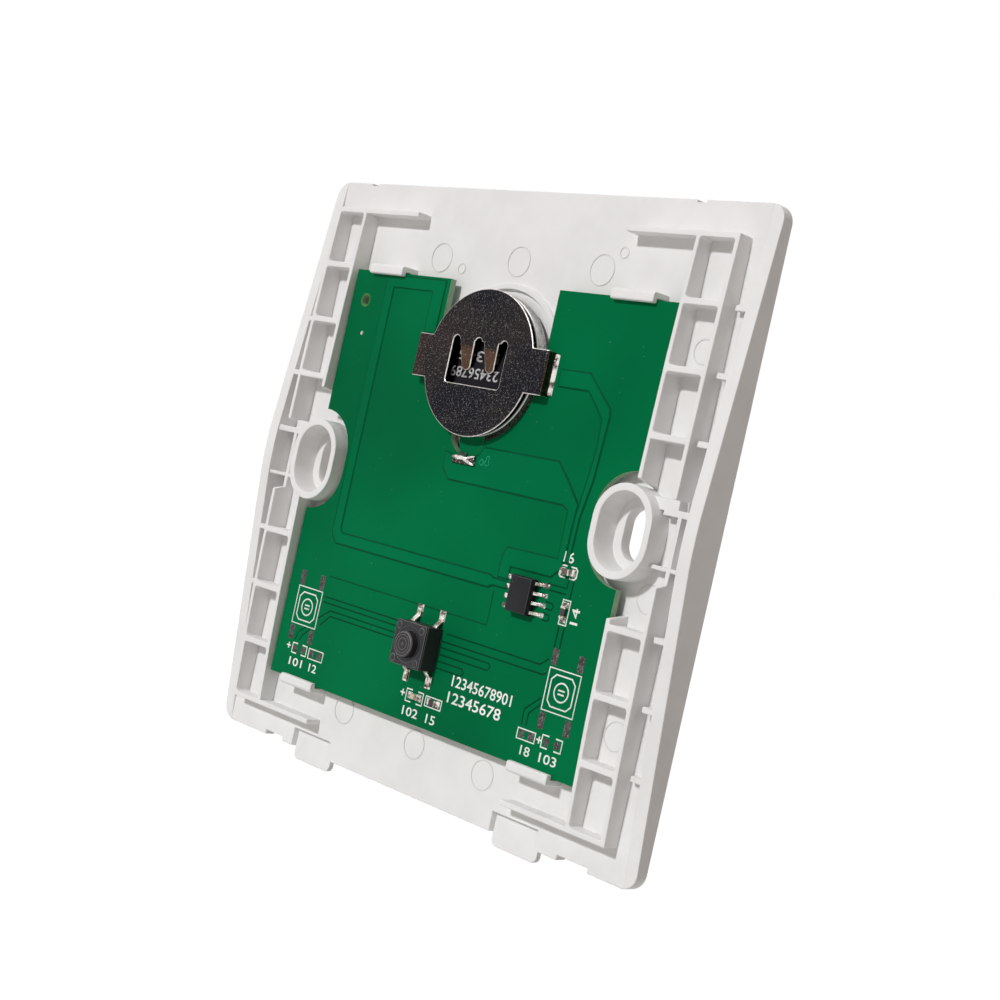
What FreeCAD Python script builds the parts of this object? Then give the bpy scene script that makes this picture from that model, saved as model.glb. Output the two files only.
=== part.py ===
"""Wireless remote wall switch with its front rocker taken off.

A moulded base plate carries a radio circuit board, a coin cell under a stamped retainer and one
surface-mounted push switch. Millimetres: +X to the right, +Y into the wall, +Z up on the wall.
The origin is the middle of the face that lies on the wall. Every height in this file is measured
from that face towards the room, so a height of h lies at Y = -h.
"""
import FreeCAD, Part
import math
import os

# Base plate moulding
PLATE_WIDTH = 84.5
PLATE_HEIGHT = 84.5
PLATE_CORNER_RADIUS = 2.3
FLOOR_HEIGHT = 1.8

# Side rims: low at the top and bottom of the plate, highest at the rocker's pivot line
RIM_WALL = 1.95
RIM_RIDGE_HEIGHT = 5.2
RIM_RIDGE_RADIUS = 60.0
CHANNEL_WIDTH = 2.1
STUB_LENGTH = 1.55
STUB_WALL = 0.8

# Ladders of stiffening pockets beside the board, the same above and below the bosses; the height
# is that at the plate's middle, from where their tops fall off along a wide arc
LADDER_HEIGHT = 5.3
LADDER_CROWN_RADIUS = 720.0
LADDER_OUTER_WALL = 0.65
LADDER_INNER_WALL = 0.65
POCKET_WIDTH = 5.4
POCKET_LENGTH = 7.65
POCKET_CORNER_RADIUS = 0.4
CROSS_WALL = 0.85
LADDER_END_WALL = 0.75
LADDER_TOP = 37.85
POCKETS = 3

# Catches for the missing front: walls that run inwards from the ladders' ends
CATCH_REACH = 11.5

# Ends of the ladders' inner walls beside the bosses: places at the wall's top and at the floor
RIGHT_UPPER_END = (6.6, 5.8)
RIGHT_LOWER_END = (-11.0, -10.3)
LEFT_UPPER_END = (10.5, 10.0)
LEFT_LOWER_END = (-5.5, -5.5)

# Screw bosses: slots wide enough for the wall box's screws, which stand 60.3 apart
SCREW_PITCH = 61.0
SCREW_LEVEL = -0.25
SCREW_SLOT_WIDTH = 4.3
SCREW_SLOT_TRAVEL = 2.5
BOSS_RADIUS = 4.8
BOSS_TRAVEL = 2.5
BOSS_WALL = 1.0
BOSS_DRAFT = 0.35
BOSS_HEIGHT = 5.25

# Beside the bosses the ladders' outer walls are lower; webs join them to the bosses and links to the rims
MIDDLE_HEIGHT = 3.45
MIDDLE_BOTTOM = -5.4
MIDDLE_RAMP = 0.5
WEB_TOP = 5.0
WEB_TOP_WALL = 1.6
WEB_END_GAP = 0.8
WEB_BOTTOM = -3.3
WEB_BOTTOM_WALL = 0.55
RIM_LINK_TOP = 3.75
RIM_LINK_WALL = 0.9
RIM_LINK_START = 35.2
RIM_LINK_HEIGHT = 4.9

# Bottom edge: two lugs that stand out below it, and two pry notches
LUG_WIDTH = 8.2
LUG_START = 17.0
LUG_DROP = 1.85
LUG_THICKNESS = 0.9
LUG_RECESS_TOP = 2.65
LUG_CORNER_RADIUS = 0.9
NOTCH_SPANS = ((-31.6, -27.6), (29.2, 34.4))
NOTCH_DEPTH = 0.65
NICK_WIDTH = 1.5
NICK_DEPTH = 0.35
NICK_PLACES = (-33.9, 29.1)

# Circuit board and the hooks that hold it
BOARD_THICKNESS = 1.0
BOARD_BACK_HEIGHT = 2.9
BOARD_TOP = 28.75
BOARD_BOTTOM = -32.35
BOARD_SIDE_GAP = 0.5
BOARD_END_GAP = 0.2
BOSS_RELIEF_RADIUS = 6.2
BOSS_RELIEF_TRAVEL = 2.5
BOSS_RELIEF_SHIFT = 0.3
HOLE_RADIUS = 0.8
HOLE_SIDE_GAP = 3.1
HOLE_TOP_GAP = 4.45
HOOK_WIDTH = 7.2
HOOK_START = 20.2
HOOK_STEM = 0.8
HOOK_LIP = 0.45
HOOK_HEAD_HEIGHT = 0.95
HOOK_CLEARANCE = 0.05
SUPPORT_WALL = 1.2
SUPPORT_SPAN = 18.0

# Coin cell, in a round bay cut out of the board
CELL_RADIUS = 10.0
CELL_THICKNESS = 2.5
CELL_PLACE_Z = 17.5
CELL_BACK_HEIGHT = 2.15
CELL_CAP_RADIUS = 8.8
CELL_CAP_THICKNESS = 0.45
CELL_GROOVE = 0.25
CELL_BAY_GAP = 0.55
BAY_RING_GAP = 0.4
BAY_RING_WALL = 0.8
BAY_RING_HEIGHT = 0.6

# Retainer: the positive contact, stamped from sheet and soldered at both sides
SHEET = 0.25
RETAINER_OVERHANG = 0.2
RETAINER_GAP = 0.8
TAB_WIDTH = 6.1
TAB_LENGTH = 2.45
TAB_BEND_RADIUS = 0.4
WINDOW_SHIFT = -0.3
WINDOW_HALF_WIDTH = 5.3
WINDOW_TOP = 2.9
WINDOW_BOTTOM = -3.2
WINDOW_CORNER_RADIUS = 0.5
WINDOW_LOBE_RADIUS = 0.65
WINDOW_LOBE_PLACES = (-4.95, -0.6, 4.35)
WINDOW_LOBE_SINK = 0.2
TONGUE_PLACES = (-2.8, 1.85)
TONGUE_ROOT_WIDTH = 3.0
TONGUE_TIP_WIDTH = 1.8
TONGUE_LENGTH = 4.1
TONGUE_CLEARANCE = 0.02

# Negative contact: a strip under the cell that climbs through a small notch onto the board
STRIP_NOTCH_RADIUS = 3.3
STRIP_NOTCH_PLACE = -0.6
STRIP_NOTCH_BOTTOM = 4.9
STRIP_WIDTH = 1.6
STRIP_TOP = 20.5
STRIP_LEG_SHIFT = 0.2
STRIP_SHEET = 0.2
STRIP_END_SHIFT = 0.95
STRIP_DIMPLE_RADIUS = 0.7

# Push switch: a square surface-mounted body with four gull-wing leads
SWITCH_SIZE = 6.0
SWITCH_PLACE_Z = -21.65
SWITCH_HEIGHT = 3.1
SWITCH_STANDOFF = 0.05
SWITCH_COVER_THICKNESS = 0.3
SWITCH_CORNER_RADIUS = 0.25
SWITCH_WELL_RADIUS = 2.45
SWITCH_BASE_THICKNESS = 1.1
RIVET_RADIUS = 0.5
RIVET_PLACE = 2.25
RIVET_HEIGHT = 0.12
PLUNGER_RADIUS = 1.75
PLUNGER_RISE = 1.0
PLUNGER_CLEARANCE = 0.1
PLUNGER_FLANGE_RADIUS = 2.2
PLUNGER_FLANGE_THICKNESS = 0.5
PLUNGER_TRAVEL = 0.25
COVER_DISH_RADIUS = 2.45
COVER_DISH_DEPTH = 0.1
DOME_RADIUS = 2.1
DOME_SHEET = 0.08
DOME_RISE = 0.38
LEAD_PLACE = 2.25
LEAD_WIDTH = 0.8
LEAD_SHEET = 0.2
LEAD_REACH = 4.95
LEAD_FOOT = 1.15
LEAD_EXIT_HEIGHT = 0.85

# Eight-lead chip
CHIP_WIDTH = 3.9
CHIP_LENGTH = 4.9
CHIP_STANDOFF = 0.15
CHIP_THICKNESS = 1.4
CHIP_DRAFT = 0.14
CHIP_LEAD_PITCH = 1.27
CHIP_LEADS_PER_SIDE = 4
CHIP_LEAD_SPAN = 6.0
CHIP_LEAD_WIDTH = 0.42
CHIP_LEAD_SHEET = 0.2
CHIP_LEAD_FOOT = 0.65
CHIP_DOT_RADIUS = 0.3
CHIP_DOT_DEPTH = 0.06

# Small two-ended parts
SMALL_LENGTH = 1.6
SMALL_WIDTH = 0.8
SMALL_END = 0.35
CAPACITOR_HEIGHT = 0.8
RESISTOR_HEIGHT = 0.45
LED_HEIGHT = 0.6
LED_BASE_HEIGHT = 0.25
LED_LENS_LENGTH = 1.0
END_OVERHANG = 0.02

# Solder
SOLDER_FILLET = 0.35
PAD_MARGIN = 0.25
MOUND_PLACE = -0.1
MOUND_WIDTH = 4.4
MOUND_INSET = 0.05
MOUND_LENGTH = 1.25
MOUND_HEIGHT = 0.55
MOUND_SHOULDER = 0.2

# Places that follow from the sizes above
OVERLAP = 0.1
BOARD_FRONT = BOARD_BACK_HEIGHT + BOARD_THICKNESS
HALF_WIDTH = PLATE_WIDTH / 2
HALF_HEIGHT = PLATE_HEIGHT / 2
RIM_INNER = HALF_WIDTH - RIM_WALL
LADDER_OUTER = RIM_INNER - CHANNEL_WIDTH
POCKET_OUTER = LADDER_OUTER - LADDER_OUTER_WALL
POCKET_INNER = POCKET_OUTER - POCKET_WIDTH
LADDER_INNER = POCKET_INNER - LADDER_INNER_WALL
POCKET_PITCH = POCKET_LENGTH + CROSS_WALL
POCKET_TOP = LADDER_TOP - LADDER_END_WALL
LADDER_BOTTOM = POCKET_TOP - POCKETS * POCKET_PITCH
BOARD_HALF_WIDTH = LADDER_INNER - BOARD_SIDE_GAP
CELL_FRONT = CELL_BACK_HEIGHT + CELL_THICKNESS
RETAINER_BACK = CELL_FRONT + RETAINER_GAP
RETAINER_FRONT = RETAINER_BACK + SHEET
RETAINER_RADIUS = CELL_RADIUS + RETAINER_OVERHANG
TAB_REACH = RETAINER_RADIUS + TAB_LENGTH
BAY_RADIUS = CELL_RADIUS + CELL_BAY_GAP
SWITCH_BACK = BOARD_FRONT + SWITCH_STANDOFF
SWITCH_FRONT = BOARD_FRONT + SWITCH_HEIGHT
COVER_BACK = SWITCH_FRONT - SWITCH_COVER_THICKNESS
WELL_FLOOR = SWITCH_BACK + SWITCH_BASE_THICKNESS
CHIP_BACK = BOARD_FRONT + CHIP_STANDOFF

# Places on the board, and the turns of the two-ended parts in degrees
CHIP_PLACE = (BOARD_HALF_WIDTH - 14.6, -11.2)
CAPACITOR_PLACES = ((BOARD_HALF_WIDTH - 8.3, -6.85, 0.0),)
RESISTOR_PLACES = ((BOARD_HALF_WIDTH - 7.5, -11.9, 90.0), (4.05, -28.6, 0.0))
LED_PLACES = ((0.3, -28.65, 0.0),)


def vec(x, z, h):
    """A point from its place on the plate and its height above the wall."""
    return FreeCAD.Vector(x, -h, z)


def prism(outline, low, high):
    """Closed outline of (x, z) points raised from one height to another."""
    points = [vec(x, z, low) for x, z in outline]
    face = Part.Face(Part.makePolygon(points + [points[0]]))
    return face.extrude(FreeCAD.Vector(0, low - high, 0))


def block(x_low, x_high, z_low, z_high, low, high):
    """Plain block between two places and two heights."""
    corner = vec(x_low, z_low, high)
    return Part.makeBox(x_high - x_low, high - low, z_high - z_low, corner)


def cylinder(x, z, radius, low, high):
    """Round post that stands on the plate's plane."""
    return Part.makeCylinder(radius, high - low, vec(x, z, low), FreeCAD.Vector(0, -1, 0))


def stadium(x, z, radius, travel, low, high):
    """Upright slot shape: two half circles joined by straight sides."""
    half = travel / 2
    shape = block(x - radius, x + radius, z - half, z + half, low, high)
    for end in (-half, half):
        shape = shape.fuse(cylinder(x, z + end, radius, low, high))
    return shape.removeSplitter()


def rounded_block(x_low, x_high, z_low, z_high, low, high, radius):
    """Block whose upright corners, seen from the room, are rounded."""
    shape = block(x_low, x_high, z_low, z_high, low, high)
    edges = [edge for edge in shape.Edges if is_depth_edge(edge)]
    return shape.makeFillet(radius, edges)


def is_depth_edge(edge):
    """True for a straight edge that runs from the wall towards the room."""
    start = edge.Vertexes[0].Point
    end = edge.Vertexes[-1].Point
    return abs(start.x - end.x) < 1e-6 and abs(start.z - end.z) < 1e-6 and abs(start.y - end.y) > 1e-6


def side_profile(points, x_low, x_high):
    """Outline of (z, height) points carried along X."""
    corners = [vec(x_low, z, h) for z, h in points]
    face = Part.Face(Part.makePolygon(corners + [corners[0]]))
    return face.extrude(FreeCAD.Vector(x_high - x_low, 0, 0))


def mirrored(shape):
    """The same shape on the plate's other side."""
    return shape.mirror(FreeCAD.Vector(0, 0, 0), FreeCAD.Vector(1, 0, 0))


def upside_down(shape):
    """The same shape below the plate's middle."""
    return shape.mirror(FreeCAD.Vector(0, 0, 0), FreeCAD.Vector(0, 0, 1))


def both_sides(shapes):
    """Each shape with its copy on the other side."""
    return shapes + [mirrored(shape) for shape in shapes]


def joined(shapes):
    """One shape out of several that meet."""
    first = shapes[0]
    return first.fuse(shapes[1:]).removeSplitter() if len(shapes) > 1 else first


# Base plate

def plate_floor():
    """Flat floor with rounded corners, lug recesses, pry notches and nicks."""
    floor = rounded_block(-HALF_WIDTH, HALF_WIDTH, -HALF_HEIGHT, HALF_HEIGHT, 0, FLOOR_HEIGHT,
                          PLATE_CORNER_RADIUS)
    recess = block(LUG_START, LUG_START + LUG_WIDTH, -HALF_HEIGHT - 1, -HALF_HEIGHT + LUG_RECESS_TOP,
                   LUG_THICKNESS, FLOOR_HEIGHT + 1)
    cuts = both_sides([recess])
    for start, end in NOTCH_SPANS:
        cuts.append(block(start, end, -HALF_HEIGHT - 1, -HALF_HEIGHT + NOTCH_DEPTH, -1, FLOOR_HEIGHT + 1))
    for place in NICK_PLACES:
        cuts.append(block(place - NICK_WIDTH / 2, place + NICK_WIDTH / 2, HALF_HEIGHT - NICK_DEPTH,
                          HALF_HEIGHT + 1, -1, FLOOR_HEIGHT + 1))
    return floor.cut(cuts)


def lug():
    """Thin tongue that stands out below the bottom edge, rounded at its free corners."""
    low = -HALF_HEIGHT - LUG_DROP
    shape = block(LUG_START, LUG_START + LUG_WIDTH, low, -HALF_HEIGHT + LUG_RECESS_TOP, 0, LUG_THICKNESS)
    free = [edge for edge in shape.Edges
            if is_depth_edge(edge) and abs(edge.CenterOfMass.z - low) < 1e-6]
    return shape.makeFillet(LUG_CORNER_RADIUS, free)


def rim_outline():
    """Side view of a rim: a roof whose two slopes run tangent into a rounded ridge."""
    centre = RIM_RIDGE_HEIGHT - RIM_RIDGE_RADIUS
    rise = FLOOR_HEIGHT - centre
    angle = math.atan2(HALF_HEIGHT, rise) - math.acos(RIM_RIDGE_RADIUS / math.hypot(HALF_HEIGHT, rise))
    reach = RIM_RIDGE_RADIUS * math.sin(angle)
    level = centre + RIM_RIDGE_RADIUS * math.cos(angle)
    left = vec(0, -HALF_HEIGHT, FLOOR_HEIGHT)
    right = vec(0, HALF_HEIGHT, FLOOR_HEIGHT)
    top = vec(0, 0, RIM_RIDGE_HEIGHT)
    start = vec(0, -reach, level)
    end = vec(0, reach, level)
    base_left = vec(0, -HALF_HEIGHT, 0)
    base_right = vec(0, HALF_HEIGHT, 0)
    edges = [Part.makeLine(base_left, left), Part.makeLine(left, start), Part.Arc(start, top, end).toShape(),
             Part.makeLine(end, right), Part.makeLine(right, base_right), Part.makeLine(base_right, base_left)]
    return Part.Face(Part.Wire(edges))


def rim_slice(x_low, x_high):
    """Stretch of the rim's roof between two places across the plate."""
    outline = rim_outline()
    outline.translate(FreeCAD.Vector(x_low, 0, 0))
    return outline.extrude(FreeCAD.Vector(x_high - x_low, 0, 0))


def rim():
    """Side wall with the short stubs that reach over the channel towards the ladder."""
    wall = rim_slice(RIM_INNER, HALF_WIDTH)
    reach = rim_slice(RIM_INNER - STUB_LENGTH, RIM_INNER + 0.1)
    pieces = [wall]
    for index in range(POCKETS):
        level = POCKET_TOP - (index + 1) * POCKET_PITCH + CROSS_WALL / 2
        for place in (level, -level):
            band = block(LADDER_OUTER, HALF_WIDTH, place - STUB_WALL / 2, place + STUB_WALL / 2, 0, 10)
            pieces.append(reach.common(band))
    envelope = rounded_block(-HALF_WIDTH, HALF_WIDTH, -HALF_HEIGHT, HALF_HEIGHT, 0, 10, PLATE_CORNER_RADIUS)
    return joined(pieces).common(envelope)


def crowned(shape):
    """The shape with its top cut to the wide arc over the plate's middle."""
    centre = LADDER_HEIGHT - LADDER_CROWN_RADIUS
    level = centre + math.sqrt(LADDER_CROWN_RADIUS ** 2 - HALF_HEIGHT ** 2)
    start = vec(-HALF_WIDTH, -HALF_HEIGHT, level)
    end = vec(-HALF_WIDTH, HALF_HEIGHT, level)
    base_start = vec(-HALF_WIDTH, -HALF_HEIGHT, -1)
    base_end = vec(-HALF_WIDTH, HALF_HEIGHT, -1)
    crest = vec(-HALF_WIDTH, 0, LADDER_HEIGHT)
    edges = [Part.makeLine(base_start, start), Part.Arc(start, crest, end).toShape(),
             Part.makeLine(end, base_end), Part.makeLine(base_end, base_start)]
    envelope = Part.Face(Part.Wire(edges)).extrude(FreeCAD.Vector(PLATE_WIDTH, 0, 0))
    return shape.common(envelope)


def ladder():
    """Upper ladder of one side: a walled block with its pockets taken out down to the floor."""
    body = block(LADDER_INNER, LADDER_OUTER, LADDER_BOTTOM, LADDER_TOP, 0, LADDER_HEIGHT)
    pockets = []
    for index in range(POCKETS):
        top = POCKET_TOP - index * POCKET_PITCH
        pockets.append(rounded_block(POCKET_INNER, POCKET_OUTER, top - POCKET_LENGTH, top, FLOOR_HEIGHT,
                                     LADDER_HEIGHT + 1, POCKET_CORNER_RADIUS))
    return body.cut(pockets)


def catch():
    """Wall that runs inwards from a ladder's end and holds the front's hook."""
    root = LADDER_INNER + LADDER_INNER_WALL / 2
    return block(LADDER_INNER - CATCH_REACH, root, POCKET_TOP, LADDER_TOP, 0, LADDER_HEIGHT)


def inner_wall(start, end):
    """Stretch of a ladder's inner wall from one place to an end that leans between the top and the floor."""
    top_end, floor_end = end
    outline = [(start, 0), (start, LADDER_HEIGHT), (top_end, LADDER_HEIGHT), (floor_end, FLOOR_HEIGHT),
               (floor_end, 0)]
    return side_profile(outline, LADDER_INNER, POCKET_INNER)


def inner_walls():
    """Inner walls that run on beyond the ladders, shorter or longer at each of the four places."""
    upper = LADDER_BOTTOM + OVERLAP
    right = [inner_wall(upper, RIGHT_UPPER_END), inner_wall(-upper, RIGHT_LOWER_END)]
    left = [inner_wall(upper, LEFT_UPPER_END), inner_wall(-upper, LEFT_LOWER_END)]
    return right + [mirrored(wall) for wall in left]


def outer_walls():
    """Full-height ends of a ladder's outer wall, upright above the boss and with a short ramp below it."""
    below = -LADDER_BOTTOM - OVERLAP
    ramp = [(below, 0), (below, LADDER_HEIGHT), (MIDDLE_BOTTOM - MIDDLE_RAMP, LADDER_HEIGHT),
            (MIDDLE_BOTTOM, MIDDLE_HEIGHT), (MIDDLE_BOTTOM, 0)]
    return [
        block(POCKET_OUTER, LADDER_OUTER, WEB_TOP - OVERLAP, LADDER_BOTTOM + OVERLAP, 0, LADDER_HEIGHT),
        side_profile(ramp, POCKET_OUTER, LADDER_OUTER),
    ]


def rim_link(low, high):
    """Link from the low outer wall up to the rim, as wide as the stretch between two places."""
    rim_end = RIM_INNER + OVERLAP
    corners = [vec(x, low, h) for x, h in ((POCKET_OUTER, 0), (rim_end, 0), (rim_end, RIM_LINK_HEIGHT),
                                           (LADDER_OUTER, MIDDLE_HEIGHT), (POCKET_OUTER, MIDDLE_HEIGHT))]
    return Part.Face(Part.makePolygon(corners + [corners[0]])).extrude(FreeCAD.Vector(0, 0, high - low))


def middle_walls():
    """Lower walls round the screw boss: the outer wall, the webs to the boss and the links to the rim."""
    boss_x = SCREW_PITCH / 2
    link_low = RIM_LINK_TOP - RIM_LINK_WALL
    web_low = WEB_BOTTOM - WEB_BOTTOM_WALL
    spans = [
        (boss_x, LADDER_OUTER - WEB_END_GAP, WEB_TOP - WEB_TOP_WALL, WEB_TOP),
        (POCKET_OUTER, LADDER_OUTER, MIDDLE_BOTTOM - OVERLAP, RIM_LINK_TOP),
        (RIM_LINK_START, LADDER_OUTER, link_low, RIM_LINK_TOP),
        (boss_x, LADDER_OUTER, web_low, WEB_BOTTOM),
    ]
    walls = [block(x_low, x_high, z_low, z_high, 0, MIDDLE_HEIGHT) for x_low, x_high, z_low, z_high in spans]
    return walls + [rim_link(link_low, RIM_LINK_TOP), rim_link(web_low, WEB_BOTTOM)]


def boss_post():
    """Outside of a screw boss."""
    return stadium(SCREW_PITCH / 2, SCREW_LEVEL, BOSS_RADIUS, BOSS_TRAVEL, 0, BOSS_HEIGHT)


def boss_bore():
    """Drafted cup for the screw's head and the slot through the floor for its shank."""
    boss_x = SCREW_PITCH / 2
    top_radius = BOSS_RADIUS - BOSS_WALL
    floor_radius = top_radius - BOSS_DRAFT
    half = BOSS_TRAVEL / 2
    depth = BOSS_HEIGHT - FLOOR_HEIGHT
    corners = [vec(boss_x + x, SCREW_LEVEL - half, h)
               for x, h in ((-floor_radius, FLOOR_HEIGHT), (floor_radius, FLOOR_HEIGHT),
                            (top_radius, BOSS_HEIGHT), (-top_radius, BOSS_HEIGHT))]
    middle = Part.Face(Part.makePolygon(corners + [corners[0]])).extrude(FreeCAD.Vector(0, 0, BOSS_TRAVEL))
    ends = [Part.makeCone(floor_radius, top_radius, depth, vec(boss_x, SCREW_LEVEL + end, FLOOR_HEIGHT),
                          FreeCAD.Vector(0, -1, 0)) for end in (-half, half)]
    slot = stadium(boss_x, SCREW_LEVEL, SCREW_SLOT_WIDTH / 2, SCREW_SLOT_TRAVEL, -1, FLOOR_HEIGHT + 1)
    return joined([middle] + ends + [slot])


def hook(edge_z, outward):
    """Snap hook over the board's top or bottom edge: a stem on the floor and a lip over the board."""
    near = edge_z + outward * BOARD_END_GAP
    far = near + outward * HOOK_STEM
    tip = edge_z - outward * HOOK_LIP
    under = BOARD_FRONT + HOOK_CLEARANCE
    top = BOARD_FRONT + HOOK_HEAD_HEIGHT
    chamfer = HOOK_HEAD_HEIGHT / 3
    outline = [(near, 0), (far, 0), (far, top - chamfer), (far - outward * chamfer, top),
               (tip + outward * chamfer / 2, top), (tip, top - chamfer / 2), (tip, under), (near, under)]
    return side_profile(outline, HOOK_START, HOOK_START + HOOK_WIDTH)


def board_supports():
    """Low ribs under the board, and the ring round the coin cell's bay."""
    rib_x = HOOK_START + HOOK_WIDTH / 2
    ribs = []
    for low in (BOARD_BOTTOM, BOARD_TOP - SUPPORT_SPAN):
        ribs.append(block(rib_x - SUPPORT_WALL / 2, rib_x + SUPPORT_WALL / 2, low, low + SUPPORT_SPAN,
                          0, BOARD_BACK_HEIGHT))
    return both_sides(ribs)


def bay_ring():
    """Low ring on the floor round the coin cell, open where the contact strip passes."""
    inner = BAY_RADIUS + BAY_RING_GAP
    high = FLOOR_HEIGHT + BAY_RING_HEIGHT
    reach = STRIP_WIDTH / 2 + BAY_RING_GAP
    ring = cylinder(0, CELL_PLACE_Z, inner + BAY_RING_WALL, FLOOR_HEIGHT / 2, high)
    passage = block(STRIP_NOTCH_PLACE - reach, STRIP_NOTCH_PLACE + reach, 0, CELL_PLACE_Z, 0, high + 1)
    return ring.cut([cylinder(0, CELL_PLACE_Z, inner, 0, high + 1), passage])


def base_plate():
    """The whole moulding."""
    ends = [ladder(), catch()]
    ends += [upside_down(shape) for shape in ends]
    walls = both_sides(ends + outer_walls()) + inner_walls()
    pieces = [lug(), rim(), boss_post()] + middle_walls() + [hook(BOARD_TOP, 1), hook(BOARD_BOTTOM, -1)]
    pieces = [plate_floor(), crowned(joined(walls))] + both_sides(pieces) + board_supports() + [bay_ring()]
    body = joined(pieces)
    return body.cut(both_sides([boss_bore()])).removeSplitter()


# Circuit board

def circuit_board():
    """Board with the cell's bay, the contact's notch, reliefs round the bosses and a tooling hole."""
    board = block(-BOARD_HALF_WIDTH, BOARD_HALF_WIDTH, BOARD_BOTTOM, BOARD_TOP, BOARD_BACK_HEIGHT, BOARD_FRONT)
    low = BOARD_BACK_HEIGHT - 1
    high = BOARD_FRONT + 1
    relief_x = SCREW_PITCH / 2 + BOSS_RELIEF_SHIFT
    relief = stadium(relief_x, 0, BOSS_RELIEF_RADIUS, BOSS_RELIEF_TRAVEL, low, high)
    notch_z = STRIP_NOTCH_BOTTOM + STRIP_NOTCH_RADIUS
    notch_left = STRIP_NOTCH_PLACE - STRIP_NOTCH_RADIUS
    cuts = both_sides([relief])
    cuts += [
        cylinder(0, CELL_PLACE_Z, BAY_RADIUS, low, high),
        block(-BAY_RADIUS, BAY_RADIUS, CELL_PLACE_Z, BOARD_TOP + 1, low, high),
        cylinder(STRIP_NOTCH_PLACE, notch_z, STRIP_NOTCH_RADIUS, low, high),
        block(notch_left, notch_left + 2 * STRIP_NOTCH_RADIUS, notch_z, CELL_PLACE_Z, low, high),
        cylinder(HOLE_SIDE_GAP - BOARD_HALF_WIDTH, BOARD_TOP - HOLE_TOP_GAP, HOLE_RADIUS, low, high),
    ]
    return board.cut(cuts).removeSplitter()


# Coin cell and its contacts

def turned(points, x, z):
    """Revolves (radius, height) points about an axis that stands on the plate."""
    corners = [vec(x + radius, z, h) for radius, h in points]
    face = Part.Face(Part.makePolygon(corners + [corners[0]]))
    return face.revolve(vec(x, z, 0), FreeCAD.Vector(0, -1, 0), 360)


def coin_cell():
    """Sealed cell: the wide can faces the room, the narrower cap lies on the contact strip."""
    back = CELL_BACK_HEIGHT
    crimp = back + CELL_CAP_THICKNESS
    bevel = CELL_GROOVE
    points = [
        (0, back), (CELL_CAP_RADIUS - bevel, back), (CELL_CAP_RADIUS, crimp), (CELL_RADIUS - bevel, crimp),
        (CELL_RADIUS, crimp + bevel), (CELL_RADIUS, CELL_FRONT - bevel), (CELL_RADIUS - bevel, CELL_FRONT),
        (0, CELL_FRONT),
    ]
    return turned(points, 0, CELL_PLACE_Z)


def retainer_tab():
    """Side tab: flat arm, rounded bend and leg that stands on the board."""
    outer = TAB_REACH
    inner = TAB_REACH - SHEET
    bend = TAB_BEND_RADIUS
    start = RETAINER_RADIUS * 0.8
    low = CELL_PLACE_Z - TAB_WIDTH / 2
    arc_shift = bend * (1 - math.sqrt(0.5))
    top = RETAINER_FRONT
    under = RETAINER_BACK
    small = bend - SHEET
    small_shift = small * (1 - math.sqrt(0.5))
    edges = [
        Part.makeLine(vec(start, low, top), vec(outer - bend, low, top)),
        Part.Arc(vec(outer - bend, low, top), vec(outer - arc_shift, low, top - arc_shift),
                 vec(outer, low, top - bend)).toShape(),
        Part.makeLine(vec(outer, low, top - bend), vec(outer, low, BOARD_FRONT)),
        Part.makeLine(vec(outer, low, BOARD_FRONT), vec(inner, low, BOARD_FRONT)),
        Part.makeLine(vec(inner, low, BOARD_FRONT), vec(inner, low, under - small)),
        Part.Arc(vec(inner, low, under - small), vec(inner - small_shift, low, under - small_shift),
                 vec(inner - small, low, under)).toShape(),
        Part.makeLine(vec(inner - small, low, under), vec(start, low, under)),
        Part.makeLine(vec(start, low, under), vec(start, low, top)),
    ]
    return Part.Face(Part.Wire(edges)).extrude(FreeCAD.Vector(0, 0, TAB_WIDTH))


def tongue(place):
    """Springy tongue cut free in the window and bent down until its tip meets the cell."""
    root = CELL_PLACE_Z + WINDOW_TOP
    tip = root - TONGUE_LENGTH
    half_root = TONGUE_ROOT_WIDTH / 2
    half_tip = TONGUE_TIP_WIDTH / 2
    outline = prism([(place - half_root, root + 0.3), (place + half_root, root + 0.3),
                     (place + half_tip, tip + half_tip), (place - half_tip, tip + half_tip)],
                    CELL_FRONT, RETAINER_FRONT + 1)
    outline = outline.fuse(cylinder(place, tip + half_tip, half_tip, CELL_FRONT, RETAINER_FRONT + 1))
    fall = RETAINER_BACK - CELL_FRONT - TONGUE_CLEARANCE
    side = [(root + 0.3, RETAINER_BACK), (root + 0.3, RETAINER_FRONT), (root, RETAINER_FRONT),
            (tip, RETAINER_FRONT - fall), (tip, RETAINER_BACK - fall), (root, RETAINER_BACK)]
    sheet = side_profile(side, place - half_root, place + half_root)
    return outline.common(sheet)


def cell_retainer():
    """Stamped disc over the cell, with its window, two tongues and two soldered tabs."""
    disc = cylinder(0, CELL_PLACE_Z, RETAINER_RADIUS, RETAINER_BACK, RETAINER_FRONT)
    low = RETAINER_BACK - 1
    high = RETAINER_FRONT + 1
    window_top = CELL_PLACE_Z + WINDOW_TOP
    window = rounded_block(WINDOW_SHIFT - WINDOW_HALF_WIDTH, WINDOW_SHIFT + WINDOW_HALF_WIDTH,
                           CELL_PLACE_Z + WINDOW_BOTTOM, window_top, low, high, WINDOW_CORNER_RADIUS)
    lobes = [cylinder(place, window_top - WINDOW_LOBE_SINK, WINDOW_LOBE_RADIUS, low, high)
             for place in WINDOW_LOBE_PLACES]
    disc = disc.cut([window] + lobes)
    tongues = [tongue(place) for place in TONGUE_PLACES]
    return joined([disc] + tongues + both_sides([retainer_tab()]))


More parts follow.
